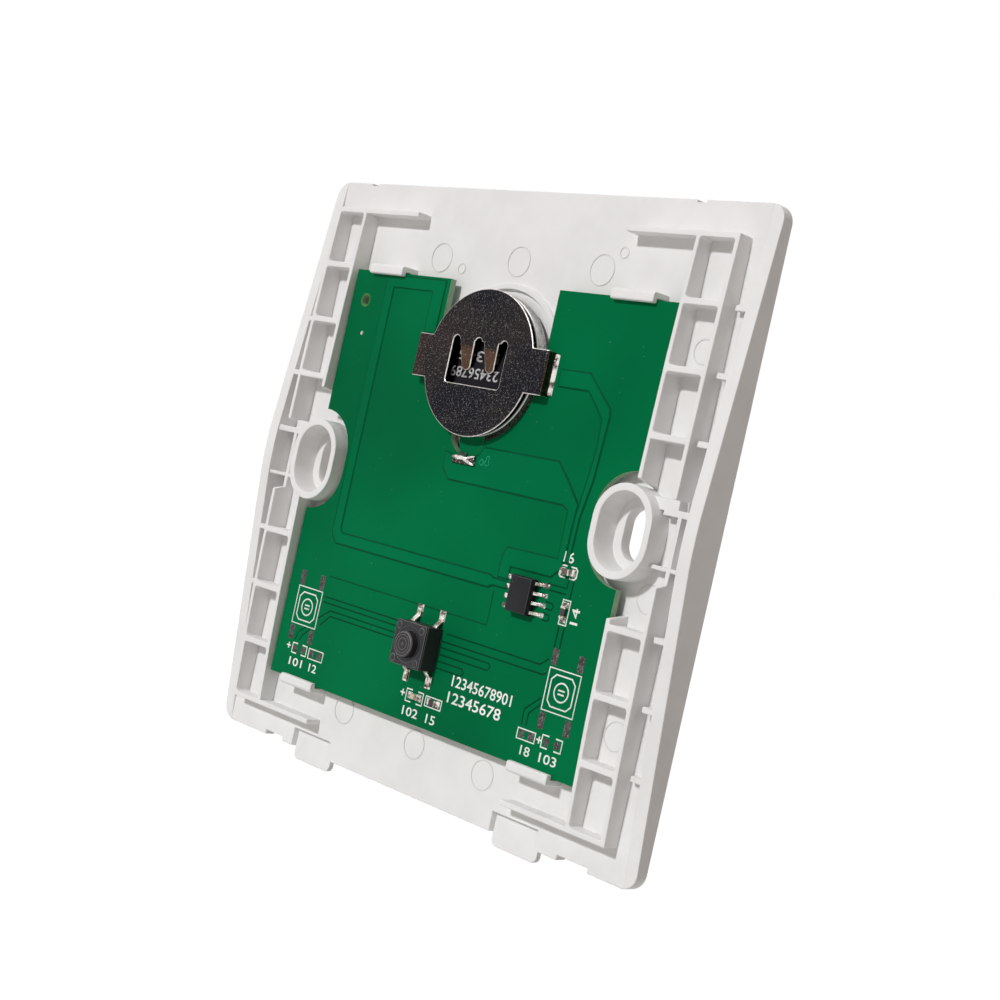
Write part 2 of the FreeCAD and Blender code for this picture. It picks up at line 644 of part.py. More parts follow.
def cell_contact():
    """Strip under the cell that climbs through the board's notch and lies on the board."""
    floor = FLOOR_HEIGHT
    sheet = STRIP_SHEET
    leg = STRIP_NOTCH_BOTTOM + STRIP_LEG_SHIFT
    end = STRIP_NOTCH_BOTTOM - STRIP_END_SHIFT
    high = BOARD_FRONT + sheet
    outline = [(STRIP_TOP, floor), (leg, floor), (leg, BOARD_FRONT), (end, BOARD_FRONT), (end, high),
               (leg + sheet, high), (leg + sheet, floor + sheet), (STRIP_TOP, floor + sheet)]
    strip = side_profile(outline, STRIP_NOTCH_PLACE - STRIP_WIDTH / 2, STRIP_NOTCH_PLACE + STRIP_WIDTH / 2)
    dimple = turned([(0, floor + sheet / 2), (STRIP_DIMPLE_RADIUS, floor + sheet / 2),
                     (STRIP_DIMPLE_RADIUS, floor + sheet), (STRIP_DIMPLE_RADIUS / 2, CELL_BACK_HEIGHT),
                     (0, CELL_BACK_HEIGHT)], STRIP_NOTCH_PLACE, CELL_PLACE_Z)
    return strip.fuse(dimple).removeSplitter()


# Push switch

def switch_housing():
    """Black square body with a round well for the dome and plunger."""
    half = SWITCH_SIZE / 2
    body = rounded_block(-half, half, SWITCH_PLACE_Z - half, SWITCH_PLACE_Z + half, SWITCH_BACK, COVER_BACK,
                         SWITCH_CORNER_RADIUS)
    well = cylinder(0, SWITCH_PLACE_Z, SWITCH_WELL_RADIUS, WELL_FLOOR, COVER_BACK + 1)
    body = body.cut(well)
    body = body.cut(switch_leads())
    rivets = [cylinder(x, SWITCH_PLACE_Z + z, RIVET_RADIUS, COVER_BACK - 0.1, SWITCH_FRONT + RIVET_HEIGHT)
              for x, z in rivet_places()]
    return joined([body] + rivets)


def rivet_places():
    """The four posts that are heat-formed over the cover."""
    return [(x, z) for x in (-RIVET_PLACE, RIVET_PLACE) for z in (-RIVET_PLACE, RIVET_PLACE)]


def switch_cover():
    """Square cover plate with a shallow dish and the plunger's hole."""
    half = SWITCH_SIZE / 2
    cover = rounded_block(-half, half, SWITCH_PLACE_Z - half, SWITCH_PLACE_Z + half, COVER_BACK, SWITCH_FRONT,
                          SWITCH_CORNER_RADIUS)
    cuts = [cylinder(0, SWITCH_PLACE_Z, PLUNGER_RADIUS + PLUNGER_CLEARANCE, COVER_BACK - 1, SWITCH_FRONT + 1),
            cylinder(0, SWITCH_PLACE_Z, COVER_DISH_RADIUS, SWITCH_FRONT - COVER_DISH_DEPTH, SWITCH_FRONT + 1)]
    cuts += [cylinder(x, SWITCH_PLACE_Z + z, RIVET_RADIUS, COVER_BACK - 1, SWITCH_FRONT + 1)
             for x, z in rivet_places()]
    return cover.cut(cuts)


def switch_plunger():
    """Round plunger with a flange under the cover and a nose that presses the dome."""
    top = SWITCH_FRONT + PLUNGER_RISE
    flange_top = COVER_BACK - PLUNGER_CLEARANCE / 2
    flange_back = flange_top - PLUNGER_FLANGE_THICKNESS
    nose = dome_top() + PLUNGER_CLEARANCE / 5
    bevel = 0.15
    points = [(0, nose), (0.6, nose), (0.8, flange_back), (PLUNGER_FLANGE_RADIUS, flange_back),
              (PLUNGER_FLANGE_RADIUS, flange_top), (PLUNGER_RADIUS, flange_top), (PLUNGER_RADIUS, top - bevel),
              (PLUNGER_RADIUS - bevel, top), (0, top)]
    return turned(points, 0, SWITCH_PLACE_Z)


def dome_top():
    """Height of the dome's crown."""
    return WELL_FLOOR + DOME_RISE + DOME_SHEET


def switch_dome():
    """Springy dome in the well, a thin cap of a sphere."""
    radius = (DOME_RADIUS ** 2 + DOME_RISE ** 2) / (2 * DOME_RISE)
    centre = WELL_FLOOR + DOME_RISE - radius
    middle = vec(0, SWITCH_PLACE_Z, centre)
    shell = Part.makeSphere(radius + DOME_SHEET, middle).cut(Part.makeSphere(radius, middle))
    keep = cylinder(0, SWITCH_PLACE_Z, DOME_RADIUS, WELL_FLOOR, WELL_FLOOR + 2 * DOME_RISE)
    return shell.common(keep)


def gull_outline(start, reach, exit_height, foot, sheet):
    """Side view of a gull-wing lead: flat exit, slope and foot on the board."""
    high = BOARD_FRONT + exit_height
    low = BOARD_FRONT
    shoulder = start + (reach - foot - start) * 0.45
    ankle = reach - foot
    return [(start, high), (shoulder, high), (ankle, low), (reach, low), (reach, low + sheet),
            (ankle + sheet * 0.6, low + sheet), (shoulder + sheet * 0.6, high + sheet), (start, high + sheet)]


def switch_leads():
    """The switch's four leads, from inside the body to their feet."""
    half = LEAD_WIDTH / 2
    start = SWITCH_SIZE / 2 - 0.6
    outline = gull_outline(start, LEAD_REACH, LEAD_EXIT_HEIGHT, LEAD_FOOT, LEAD_SHEET)
    leads = []
    for x in (-LEAD_PLACE, LEAD_PLACE):
        for direction in (1, -1):
            points = [(SWITCH_PLACE_Z + direction * z, h) for z, h in outline]
            leads.append(side_profile(points, x - half, x + half))
    return leads


# Chip

def chip_body():
    """Moulded body, widest at the leads, with a dot beside lead one."""
    middle = CHIP_BACK + CHIP_THICKNESS / 2
    halves = []
    for end in (CHIP_BACK, CHIP_BACK + CHIP_THICKNESS):
        wires = []
        for h, inset in ((middle, 0), (end, CHIP_DRAFT)):
            x_half = CHIP_WIDTH / 2 - inset
            z_half = CHIP_LENGTH / 2 - inset
            corners = [vec(CHIP_PLACE[0] + x, CHIP_PLACE[1] + z, h)
                       for x, z in ((-x_half, -z_half), (x_half, -z_half), (x_half, z_half), (-x_half, z_half))]
            wires.append(Part.makePolygon(corners + [corners[0]]))
        halves.append(Part.makeLoft(wires, True, True))
    body = joined(halves)
    top = CHIP_BACK + CHIP_THICKNESS
    dot_x = CHIP_PLACE[0] - CHIP_WIDTH / 2 + 0.75
    dot_z = CHIP_PLACE[1] + CHIP_LENGTH / 2 - 0.75
    dot = cylinder(dot_x, dot_z, CHIP_DOT_RADIUS, top - CHIP_DOT_DEPTH, top + 1)
    return body.cut([dot] + chip_lead_list())


def chip_lead_list():
    """The chip's gull-wing leads on both long sides."""
    start = CHIP_WIDTH / 2 - 0.3
    outline = gull_outline(start, CHIP_LEAD_SPAN / 2, CHIP_STANDOFF + CHIP_THICKNESS / 2 - CHIP_LEAD_SHEET / 2,
                           CHIP_LEAD_FOOT, CHIP_LEAD_SHEET)
    leads = []
    for index in range(CHIP_LEADS_PER_SIDE):
        z = CHIP_PLACE[1] + (index - (CHIP_LEADS_PER_SIDE - 1) / 2) * CHIP_LEAD_PITCH
        for side in (-1, 1):
            corners = [vec(CHIP_PLACE[0] + side * x, z - CHIP_LEAD_WIDTH / 2, h) for x, h in outline]
            face = Part.Face(Part.makePolygon(corners + [corners[0]]))
            leads.append(face.extrude(FreeCAD.Vector(0, 0, CHIP_LEAD_WIDTH)))
    return leads


# Small two-ended parts

def placed(shape, place):
    """Turns a part drawn at the origin of the board's front and moves it to its place."""
    x, z, angle = place
    copy = shape.copy()
    copy.rotate(vec(0, 0, 0), FreeCAD.Vector(0, -1, 0), angle)
    copy.translate(vec(x, z, BOARD_FRONT))
    return copy


def small_body(height):
    """Ceramic middle of a two-ended part."""
    half = SMALL_LENGTH / 2 - SMALL_END
    return block(-half, half, -SMALL_WIDTH / 2, SMALL_WIDTH / 2, END_OVERHANG, height)


def small_ends(height):
    """Metal caps at both ends of a two-ended part."""
    inner = SMALL_LENGTH / 2 - SMALL_END
    half = SMALL_WIDTH / 2 + END_OVERHANG
    cap = block(inner, SMALL_LENGTH / 2, -half, half, 0, height + END_OVERHANG)
    return [cap, mirrored(cap)]


def led_base():
    """Flat carrier under the indicator's lens."""
    half = SMALL_LENGTH / 2 - SMALL_END
    return block(-half, half, -SMALL_WIDTH / 2, SMALL_WIDTH / 2, END_OVERHANG, LED_BASE_HEIGHT)


def led_lens():
    """Clear block over the indicator's chip, narrower at its top."""
    wires = []
    for h, inset in ((LED_BASE_HEIGHT, 0), (LED_HEIGHT, 0.06)):
        x_half = min(LED_LENS_LENGTH / 2, SMALL_LENGTH / 2 - SMALL_END) - inset
        z_half = SMALL_WIDTH / 2 - inset
        corners = [vec(x, z, h) for x, z in ((-x_half, -z_half), (x_half, -z_half), (x_half, z_half),
                                              (-x_half, z_half))]
        wires.append(Part.makePolygon(corners + [corners[0]]))
    return Part.makeLoft(wires, True, True)


def fillet_bead(length, height):
    """Solder bead of triangular section that starts at the origin and runs along Z."""
    corners = [vec(0, -length / 2, 0), vec(height * 1.4, -length / 2, 0), vec(0, -length / 2, height)]
    face = Part.Face(Part.makePolygon(corners + [corners[0]]))
    return face.extrude(FreeCAD.Vector(0, 0, length))


def small_solder(place):
    """Solder fillets at both ends of a two-ended part."""
    bead = fillet_bead(SMALL_WIDTH, SOLDER_FILLET)
    bead.translate(FreeCAD.Vector(SMALL_LENGTH / 2, 0, 0))
    return [placed(piece, place) for piece in (bead, mirrored(bead))]


def retainer_solder():
    """Beads along the feet of both tabs."""
    bead = fillet_bead(TAB_WIDTH - 2 * PAD_MARGIN, SOLDER_FILLET * 1.3)
    bead.translate(vec(TAB_REACH, CELL_PLACE_Z, BOARD_FRONT))
    return both_sides([bead])


def mound_outline(low, high):
    """Section of a solder mound between two places: steep feet, sloped shoulders and a flat top."""
    step = MOUND_SHOULDER
    shoulder = BOARD_FRONT + MOUND_HEIGHT * 0.7
    top = BOARD_FRONT + MOUND_HEIGHT
    return [(low, BOARD_FRONT), (high, BOARD_FRONT), (high - step / 2, shoulder), (high - 2 * step, top),
            (low + 2 * step, top), (low + step / 2, shoulder)]


def contact_solder():
    """Mound of solder over the end of the negative contact, sloped on all four sides."""
    edge = STRIP_NOTCH_BOTTOM - MOUND_INSET
    left = MOUND_PLACE - MOUND_WIDTH / 2
    right = MOUND_PLACE + MOUND_WIDTH / 2
    along = side_profile(mound_outline(edge - MOUND_LENGTH, edge), left, right)
    corners = [vec(x, edge - MOUND_LENGTH, h) for x, h in mound_outline(left, right)]
    across = Part.Face(Part.makePolygon(corners + [corners[0]])).extrude(FreeCAD.Vector(0, 0, MOUND_LENGTH))
    return along.common(across).cut(cell_contact())


def foot_solder(places):
    """Low wedges in front of the toes of gull-wing leads: (x, z, outward x, outward z, width)."""
    beads = []
    for x, z, out_x, out_z, width in places:
        bead = fillet_bead(width, LEAD_SHEET)
        angle = math.degrees(math.atan2(out_z, out_x))
        bead.rotate(vec(0, 0, 0), FreeCAD.Vector(0, -1, 0), angle)
        bead.translate(vec(x, z, BOARD_FRONT))
        beads.append(bead)
    return beads


def switch_solder():
    """Solder at the toes of the switch's leads."""
    return foot_solder([(x, SWITCH_PLACE_Z + side * LEAD_REACH, 0, side, LEAD_WIDTH)
                        for x in (-LEAD_PLACE, LEAD_PLACE) for side in (-1, 1)])


def chip_solder():
    """Solder at the toes of the chip's leads."""
    places = []
    for index in range(CHIP_LEADS_PER_SIDE):
        z = CHIP_PLACE[1] + (index - (CHIP_LEADS_PER_SIDE - 1) / 2) * CHIP_LEAD_PITCH
        for side in (-1, 1):
            places.append((CHIP_PLACE[0] + side * CHIP_LEAD_SPAN / 2, z, side, 0, CHIP_LEAD_WIDTH))
    return foot_solder(places)


def export(name, shapes):
    """Writes one sub-part, which may be a group of separate solids."""
    solids = []
    for shape in shapes:
        solids.extend(shape.Solids)
    result = solids[0] if len(solids) == 1 else Part.makeCompound(solids)
    result.exportStep(os.path.join("parts", name + ".step"))


def main():
    os.makedirs("parts", exist_ok=True)
    capacitors = CAPACITOR_PLACES
    resistors = RESISTOR_PLACES
    leds = LED_PLACES
    nodes = {
        "base_plate": [base_plate()],
        "circuit_board": [circuit_board()],
        "coin_cell": [coin_cell()],
        "cell_retainer": [cell_retainer()],
        "cell_contact": [cell_contact()],
        "retainer_solder": retainer_solder(),
        "contact_solder": [contact_solder()],
        "switch_housing": [switch_housing()],
        "switch_cover": [switch_cover()],
        "switch_plunger": [switch_plunger()],
        "switch_dome": [switch_dome()],
        "switch_leads": switch_leads(),
        "switch_solder": switch_solder(),
        "chip_body": [chip_body()],
        "chip_leads": chip_lead_list(),
        "chip_solder": chip_solder(),
        "capacitor_body": [placed(small_body(CAPACITOR_HEIGHT), place) for place in capacitors],
        "capacitor_ends": [placed(end, place) for place in capacitors for end in small_ends(CAPACITOR_HEIGHT)],
        "resistor_bodies": [placed(small_body(RESISTOR_HEIGHT), place) for place in resistors],
        "resistor_ends": [placed(end, place) for place in resistors for end in small_ends(RESISTOR_HEIGHT)],
        "led_base": [placed(led_base(), place) for place in leds],
        "led_lens": [placed(led_lens(), place) for place in leds],
        "led_ends": [placed(end, place) for place in leds for end in small_ends(LED_BASE_HEIGHT)],
        "small_part_solder": [bead for place in capacitors + resistors + leds for bead in small_solder(place)],
    }
    for name, shapes in nodes.items():
        export(name, shapes)


main()
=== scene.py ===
"""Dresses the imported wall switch: moulded plate, radio board, coin cell, push switch and studio."""
from __future__ import annotations

import logging
import math
from dataclasses import dataclass, field
from enum import Enum
from typing import Any

import bmesh
import bpy
from mathutils import Matrix, Vector

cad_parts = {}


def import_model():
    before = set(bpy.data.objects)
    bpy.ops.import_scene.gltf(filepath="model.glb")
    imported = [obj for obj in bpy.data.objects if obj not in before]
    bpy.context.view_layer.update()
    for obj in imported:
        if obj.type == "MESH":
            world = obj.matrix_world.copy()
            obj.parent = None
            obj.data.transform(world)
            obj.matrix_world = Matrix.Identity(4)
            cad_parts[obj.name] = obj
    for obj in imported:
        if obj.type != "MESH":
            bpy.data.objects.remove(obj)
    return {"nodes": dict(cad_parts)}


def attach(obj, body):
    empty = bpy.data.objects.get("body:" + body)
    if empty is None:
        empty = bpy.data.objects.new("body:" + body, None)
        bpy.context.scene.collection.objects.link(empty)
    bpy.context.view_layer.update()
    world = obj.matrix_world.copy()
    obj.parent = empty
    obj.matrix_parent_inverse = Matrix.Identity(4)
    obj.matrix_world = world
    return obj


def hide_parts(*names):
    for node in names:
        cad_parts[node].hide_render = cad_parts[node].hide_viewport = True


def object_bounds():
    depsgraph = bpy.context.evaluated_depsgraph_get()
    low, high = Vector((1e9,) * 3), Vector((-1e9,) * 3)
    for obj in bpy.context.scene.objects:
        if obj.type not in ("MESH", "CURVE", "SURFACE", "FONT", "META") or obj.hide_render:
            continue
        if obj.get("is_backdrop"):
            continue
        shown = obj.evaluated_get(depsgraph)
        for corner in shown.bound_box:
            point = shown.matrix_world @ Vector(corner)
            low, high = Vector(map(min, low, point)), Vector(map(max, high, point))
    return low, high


# Lengths are in millimetres and heights count from the wall, where nothing else is said.
MM = 0.001
BOARD_FRONT = 3.9
FLOOR_FRONT = 1.8
SUNK = 0.01
DEEP_SUNK = 0.02
PRINT_GAP = 0.008

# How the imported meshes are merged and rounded.
MERGE_SHARE = 0.25
MERGE_MOST = 0.03
FLAT_ANGLE = math.radians(1.0)
CORNER_ANGLE = math.radians(35.0)
CREASE_ANGLE = math.radians(65.0)
RIM_SHARE = 0.4
RING_STEPS = 48
CIRCLE_STEPS = 32

# How plain numbers are drawn before they are stretched to their field.
DIGIT_SIZE = 2.0
DIGIT_RISE = 0.006
DIGIT_SPREAD = 0.02

NOISE_MIDDLE = 0.5
NOISE_ROUGHNESS = 0.55
FACING_LIMITS = (0.5, 0.8)
# Cell size and width of the painted glints on metal.
GLINT_SCALE = 5200.0
GLINT_WIDTH = 0.05
FACE_ROOM = Matrix.Rotation(math.radians(90), 4, "X")
LOG = logging.getLogger("wall_switch")

Triple = tuple[float, float, float]
Color = Triple
Place = tuple[float, float]
Limits = tuple[float, float]
Run = tuple[list[Place], bool]
EVEN: Triple = (1.0, 1.0, 1.0)
SWITCH_PLACE: Place = (0.0, -21.65)


def at(x: float, z: float, height: float) -> Vector:
    """Point in metres of a place on the plate and a height above the wall."""
    return Vector((x, -height, z)) * MM


class Signal:
    """One output of a finish's node tree, which takes part in Python arithmetic."""

    def __init__(self, graph: "Graph", socket: bpy.types.NodeSocket) -> None:
        """Keeps the tree and the socket."""
        self.graph = graph
        self.socket = socket

    def _math(self, operation: str, first: Any, second: Any) -> "Signal":
        """Adds a Math node on two values."""
        return self.graph.node("ShaderNodeMath", {"operation": operation}, {0: first, 1: second})

    def __add__(self, other: Any) -> "Signal":
        """Sum."""
        return self._math("ADD", self, other)

    def __radd__(self, other: Any) -> "Signal":
        """Reflected sum."""
        return self._math("ADD", other, self)

    def __sub__(self, other: Any) -> "Signal":
        """Difference."""
        return self._math("SUBTRACT", self, other)

    def __rsub__(self, other: Any) -> "Signal":
        """Reflected difference."""
        return self._math("SUBTRACT", other, self)

    def __mul__(self, other: Any) -> "Signal":
        """Product."""
        return self._math("MULTIPLY", self, other)

    def __rmul__(self, other: Any) -> "Signal":
        """Reflected product."""
        return self._math("MULTIPLY", other, self)


class Graph:
    """Node tree of one finish, or of the surround."""

    def __init__(self, owner: bpy.types.Material | bpy.types.World) -> None:
        """Empties the owner's tree.

        Args:
            owner: the material or the world to fill.
        """
        owner.use_nodes = True
        self.tree = owner.node_tree
        self.tree.nodes.clear()

    def node(self, kind: str, settings: dict[str, Any] | None = None,
             inputs: dict[Any, Any] | None = None, output: Any = 0) -> Signal:
        """Adds a node.

        Args:
            kind: the node's type.
            settings: its attributes, set before its sockets.
            inputs: values or signals of its sockets, by name or index.
            output: the output that the caller wants.

        Returns:
            That output as a signal.
        """
        made = self.tree.nodes.new(kind)
        for name, value in (settings or {}).items():
            setattr(made, name, value)
        for key, value in (inputs or {}).items():
            socket = made.inputs[key]
            if isinstance(value, Signal):
                self.tree.links.new(value.socket, socket)
            elif isinstance(value, tuple) and len(value) == 3 and socket.type == "RGBA":
                socket.default_value = (*value, 1.0)
            else:
                socket.default_value = value
        return Signal(self, made.outputs[output])

    def place(self, stretch: Triple = EVEN) -> Signal:
        """Object coordinates, stretched along the axes."""
        raw = self.node("ShaderNodeTexCoord", output="Object")
        return self.node("ShaderNodeMapping", inputs={"Vector": raw, "Scale": stretch})

    def ramp(self, value: Signal, low: float, high: float) -> Signal:
        """Smooth step of a value between two limits."""
        return self.node("ShaderNodeMapRange", {"interpolation_type": "SMOOTHSTEP"},
                         {"Value": value, "From Min": low, "From Max": high})

    def blend(self, factor: Signal, first: Any, second: Any) -> Signal:
        """Mixes two colours."""
        return self.node("ShaderNodeMix", {"data_type": "RGBA"},
                         {0: factor, 6: first, 7: second}, 2)

    def largest(self, first: Signal, second: Signal) -> Signal:
        """Larger of two values."""
        return self.node("ShaderNodeMath", {"operation": "MAXIMUM"}, {0: first, 1: second})

    def axis(self, vector: Signal, index: int) -> Signal:
        """One part of a vector: 0 across, 1 away from the room, 2 up."""
        return self.node("ShaderNodeSeparateXYZ", inputs={0: vector}, output=index)

    def toward_room(self) -> Signal:
        """One on faces that look to the room or the wall, zero on the sides.

        Returns:
            The mask.
        """
        normal = self.node("ShaderNodeNewGeometry", output="Normal")
        depth = self.axis(normal, 1)
        facing = self.node("ShaderNodeMath", {"operation": "ABSOLUTE"}, {0: depth})
        return self.ramp(facing, *FACING_LIMITS)

    def white_rays(self) -> Signal:
        """One for rays from the camera, off mirrors and through glass, which see a white studio.

        Returns:
            The mask.
        """
        camera, mirror, glass = (
            self.node("ShaderNodeLightPath", output=ray)
            for ray in ("Is Camera Ray", "Is Glossy Ray", "Is Transmission Ray"))
        return self.largest(camera, self.largest(mirror, glass))

    def surface(self, bump: Signal, distance: float, **inputs: Any) -> None:
        """Ends a material's tree in a Principled shader.

        Args:
            bump: height that the Bump node reads.
            distance: depth of the bump in metres.
            inputs: the shader's sockets, with underscores for spaces.
        """
        values = {name.replace("_", " "): value for name, value in inputs.items()}
        values["Normal"] = self.node(
            "ShaderNodeBump", inputs={"Height": bump, "Distance": distance, "Strength": 1.0})
        self.end(self.node("ShaderNodeBsdfPrincipled", inputs=values))

    def end(self, shader: Signal, kind: str = "ShaderNodeOutputMaterial") -> None:
        """Links a shader to the tree's output node."""
        output = self.tree.nodes.new(kind)
        self.tree.links.new(shader.socket, output.inputs["Surface"])


@dataclass(frozen=True)
class Grain:
    """Soft noise with so many cells to the metre."""

    scale: float
    detail: float = 2.0
    stretch: Triple = EVEN

    def noise(self, graph: Graph) -> Signal:
        """The noise, about its middle value."""
        return graph.node("ShaderNodeTexNoise", inputs={
            "Vector": graph.place(self.stretch), "Scale": self.scale, "Detail": self.detail,
            "Roughness": NOISE_ROUGHNESS})


@dataclass(frozen=True)
class Speckle(Grain):
    """Noise cut off between two limits, as clouds, scratches and dust are."""

    limits: Limits = (0.35, 0.65)

    def mask(self, graph: Graph) -> Signal:
        """One where the noise is over the upper limit, zero under the lower."""
        return graph.ramp(self.noise(graph), *self.limits)


@dataclass(frozen=True)
class Coating:
    """A finish: a named material whose tree its own kind fills."""

    name: str

    def paint(self, graph: Graph) -> None:
        """Fills the tree."""
        raise NotImplementedError

    def build(self) -> bpy.types.Material:
        """Makes the material.

        Returns:
            The material.
        """
        material = bpy.data.materials.new(self.name)
        self.paint(Graph(material))
        return material


@dataclass(frozen=True)
class Plastic(Coating):
    """Moulded plastic or fired ceramic with a fine grain and soft blotches."""

    color: Color
    shade: Color
    roughness: float
    grain: float = 9000.0
    depth: float = 0.000006
    specular: float = 0.5
    blotches: Speckle = Speckle(180.0, 4.0, limits=(0.35, 0.7))
    grain_gloss: float = 0.16
    blotch_gloss: float = 0.05

    def paint(self, graph: Graph) -> None:
        """Fills the tree.

        Args:
            graph: the tree.
        """
        blotch = self.blotches.mask(graph)
        fine = Grain(self.grain, 3.0).noise(graph)
        dullness = self.roughness + (fine - NOISE_MIDDLE) * self.grain_gloss
        graph.surface(bump=fine, distance=self.depth,
                      Base_Color=graph.blend(blotch, self.color, self.shade),
                      Roughness=dullness + blotch * self.blotch_gloss,
                      Specular_IOR_Level=self.specular)


@dataclass(frozen=True)
class Metal(Coating):
    """Sheet metal, tin or solder, brushed or flowed, with painted dark reflections and painted
    glints.
    """

    color: Color
    shade: Color
    glint: Color
    roughness: float
    grain: float = 2500.0
    stretch: Triple = EVEN
    depth: float = 0.000004
    glint_start: float = 0.66
    clouds: Speckle = Speckle(1250.0, 3.0, limits=(0.38, 0.62))
    grain_gloss: float = 0.2
    glint_gloss: float = 0.15

    def paint(self, graph: Graph) -> None:
        """Fills the tree.

        Args:
            graph: the tree.
        """
        # Darker clouds of the shade colour are painted dark reflections.
        cloud = self.clouds.mask(graph)
        brush = Grain(self.grain, 4.0, self.stretch).noise(graph)
        # Small bright spots in the base colour are painted glints.
        limits = (self.glint_start, self.glint_start + GLINT_WIDTH)
        glints = Speckle(GLINT_SCALE, 1.0, limits=limits).mask(graph)
        tone = graph.blend(cloud, self.color, self.shade)
        dullness = self.roughness + (brush - NOISE_MIDDLE) * self.grain_gloss
        graph.surface(bump=brush, distance=self.depth,
                      Base_Color=graph.blend(glints, tone, self.glint), Metallic=1.0,
                      Roughness=dullness + glints * self.glint_gloss)


@dataclass(frozen=True)
class StampedSheet(Coating):
    """Dark glossy sheet with fine scratches, browner on its left tab and where it is bent down."""

    color: Color
    shade: Color
    low_color: Color
    scratch: Color
    bend_height: float
    tab_start: float
    bend_run: float = 0.2
    tab_run: float = 2.2
    tab_share: float = 0.28
    roughness: float = 0.27
    depth: float = 0.000004
    clouds: Speckle = Speckle(95.0, 1.0)
    fine: Speckle = Speckle(12500.0, 1.0, (1.0, 1.0, 0.6), (0.66, 0.71))
    fine_share: float = 0.9
    coarse: Speckle = Speckle(4600.0, 2.0, (0.4, 1.0, 1.0), (0.70, 0.73))
    coarse_share: float = 0.7
    brushing: Grain = Grain(2600.0, 4.0, (1.0, 1.0, 0.3))
    grain_gloss: float = 0.2
    scratch_gloss: float = 0.15

    def paint(self, graph: Graph) -> None:
        """Fills the tree.

        Args:
            graph: the tree.
        """
        place = graph.place()
        bent = graph.ramp(graph.axis(place, 1), -self.bend_height * MM,
                          (self.bend_run - self.bend_height) * MM)
        tab = graph.ramp(graph.axis(place, 0), -self.tab_start * MM,
                         (-self.tab_start - self.tab_run) * MM)
        fine = self.fine.mask(graph)
        brush = self.brushing.noise(graph)
        tone = graph.blend(self.clouds.mask(graph), self.color, self.shade)
        tone = graph.blend(bent, tone, self.low_color)
        tone = graph.blend(tab * self.tab_share, tone, self.low_color)
        tone = graph.blend(fine * self.fine_share, tone, self.scratch)
        tone = graph.blend(self.coarse.mask(graph) * self.coarse_share, tone, self.scratch)
        dullness = self.roughness + (brush - NOISE_MIDDLE) * self.grain_gloss
        graph.surface(bump=brush, distance=self.depth, Base_Color=tone, Metallic=1.0,
                      Roughness=dullness + fine * self.scratch_gloss)


@dataclass(frozen=True)
class SolderMask(Coating):
    """Green lacquer on a glass laminate whose cut edges stay bare."""

    color: Color
    shade: Color
    laminate: Color
    fibre: Color
    roughness: float
    depth: float = 0.000005
    specular: float = 0.025
    clouds: Speckle = Speckle(28.0, 2.0, limits=(0.3, 0.7))
    weaving: Grain = Grain(2400.0, 2.0)
    weave_gloss: float = 0.2
    dust: Speckle = Speckle(2300.0, 0.0, limits=(0.83, 0.85))
    dust_share: float = 0.4
    dust_color: Color = (0.12, 0.36, 0.20)
    fibres: Speckle = Speckle(3000.0, 2.0, (1.0, 6.0, 1.0))

    def paint(self, graph: Graph) -> None:
        """Fills the tree.

        Args:
            graph: the tree.
        """
        weave = self.weaving.noise(graph)
        lacquer = graph.blend(self.clouds.mask(graph), self.color, self.shade)
        lacquer = graph.blend(self.dust.mask(graph) * self.dust_share, lacquer, self.dust_color)
        edge = graph.blend(self.fibres.mask(graph), self.laminate, self.fibre)
        graph.surface(bump=weave, distance=self.depth,
                      Base_Color=graph.blend(graph.toward_room(), edge, lacquer),
                      Roughness=self.roughness + (weave - NOISE_MIDDLE) * self.weave_gloss,
                      Specular_IOR_Level=self.specular)


@dataclass(frozen=True)
class CellSteel(Coating):
    """Steel of the cell: a front painted dark and a side painted bright, as painted reflections."""

    # face is a painted dark reflection on the front; side is a painted bright reflection on the rim.
    face: Color
    side: Color
    scratch: Color = (0.3, 0.3, 0.3)
    roughness: float = 0.26
    depth: float = 0.000003
    brushing: Grain = Grain(2600.0, 3.0, (0.15, 1.0, 1.0))
    grain_gloss: float = 0.2
    scratches: Speckle = Speckle(900.0, 2.0, (0.1, 1.0, 1.0), (0.7, 0.74))
    scratch_share: float = 0.4

    def paint(self, graph: Graph) -> None:
        """Fills the tree.

        Args:
            graph: the tree.
        """
        brush = self.brushing.noise(graph)
        marks = self.scratches.mask(graph) * self.scratch_share
        face = graph.blend(marks, self.face, self.scratch)
        # toward_room gives the front the painted dark reflection and the side the painted bright one.
        graph.surface(bump=brush, distance=self.depth,
                      Base_Color=graph.blend(graph.toward_room(), self.side, face), Metallic=1.0,
                      Roughness=self.roughness + (brush - NOISE_MIDDLE) * self.grain_gloss)


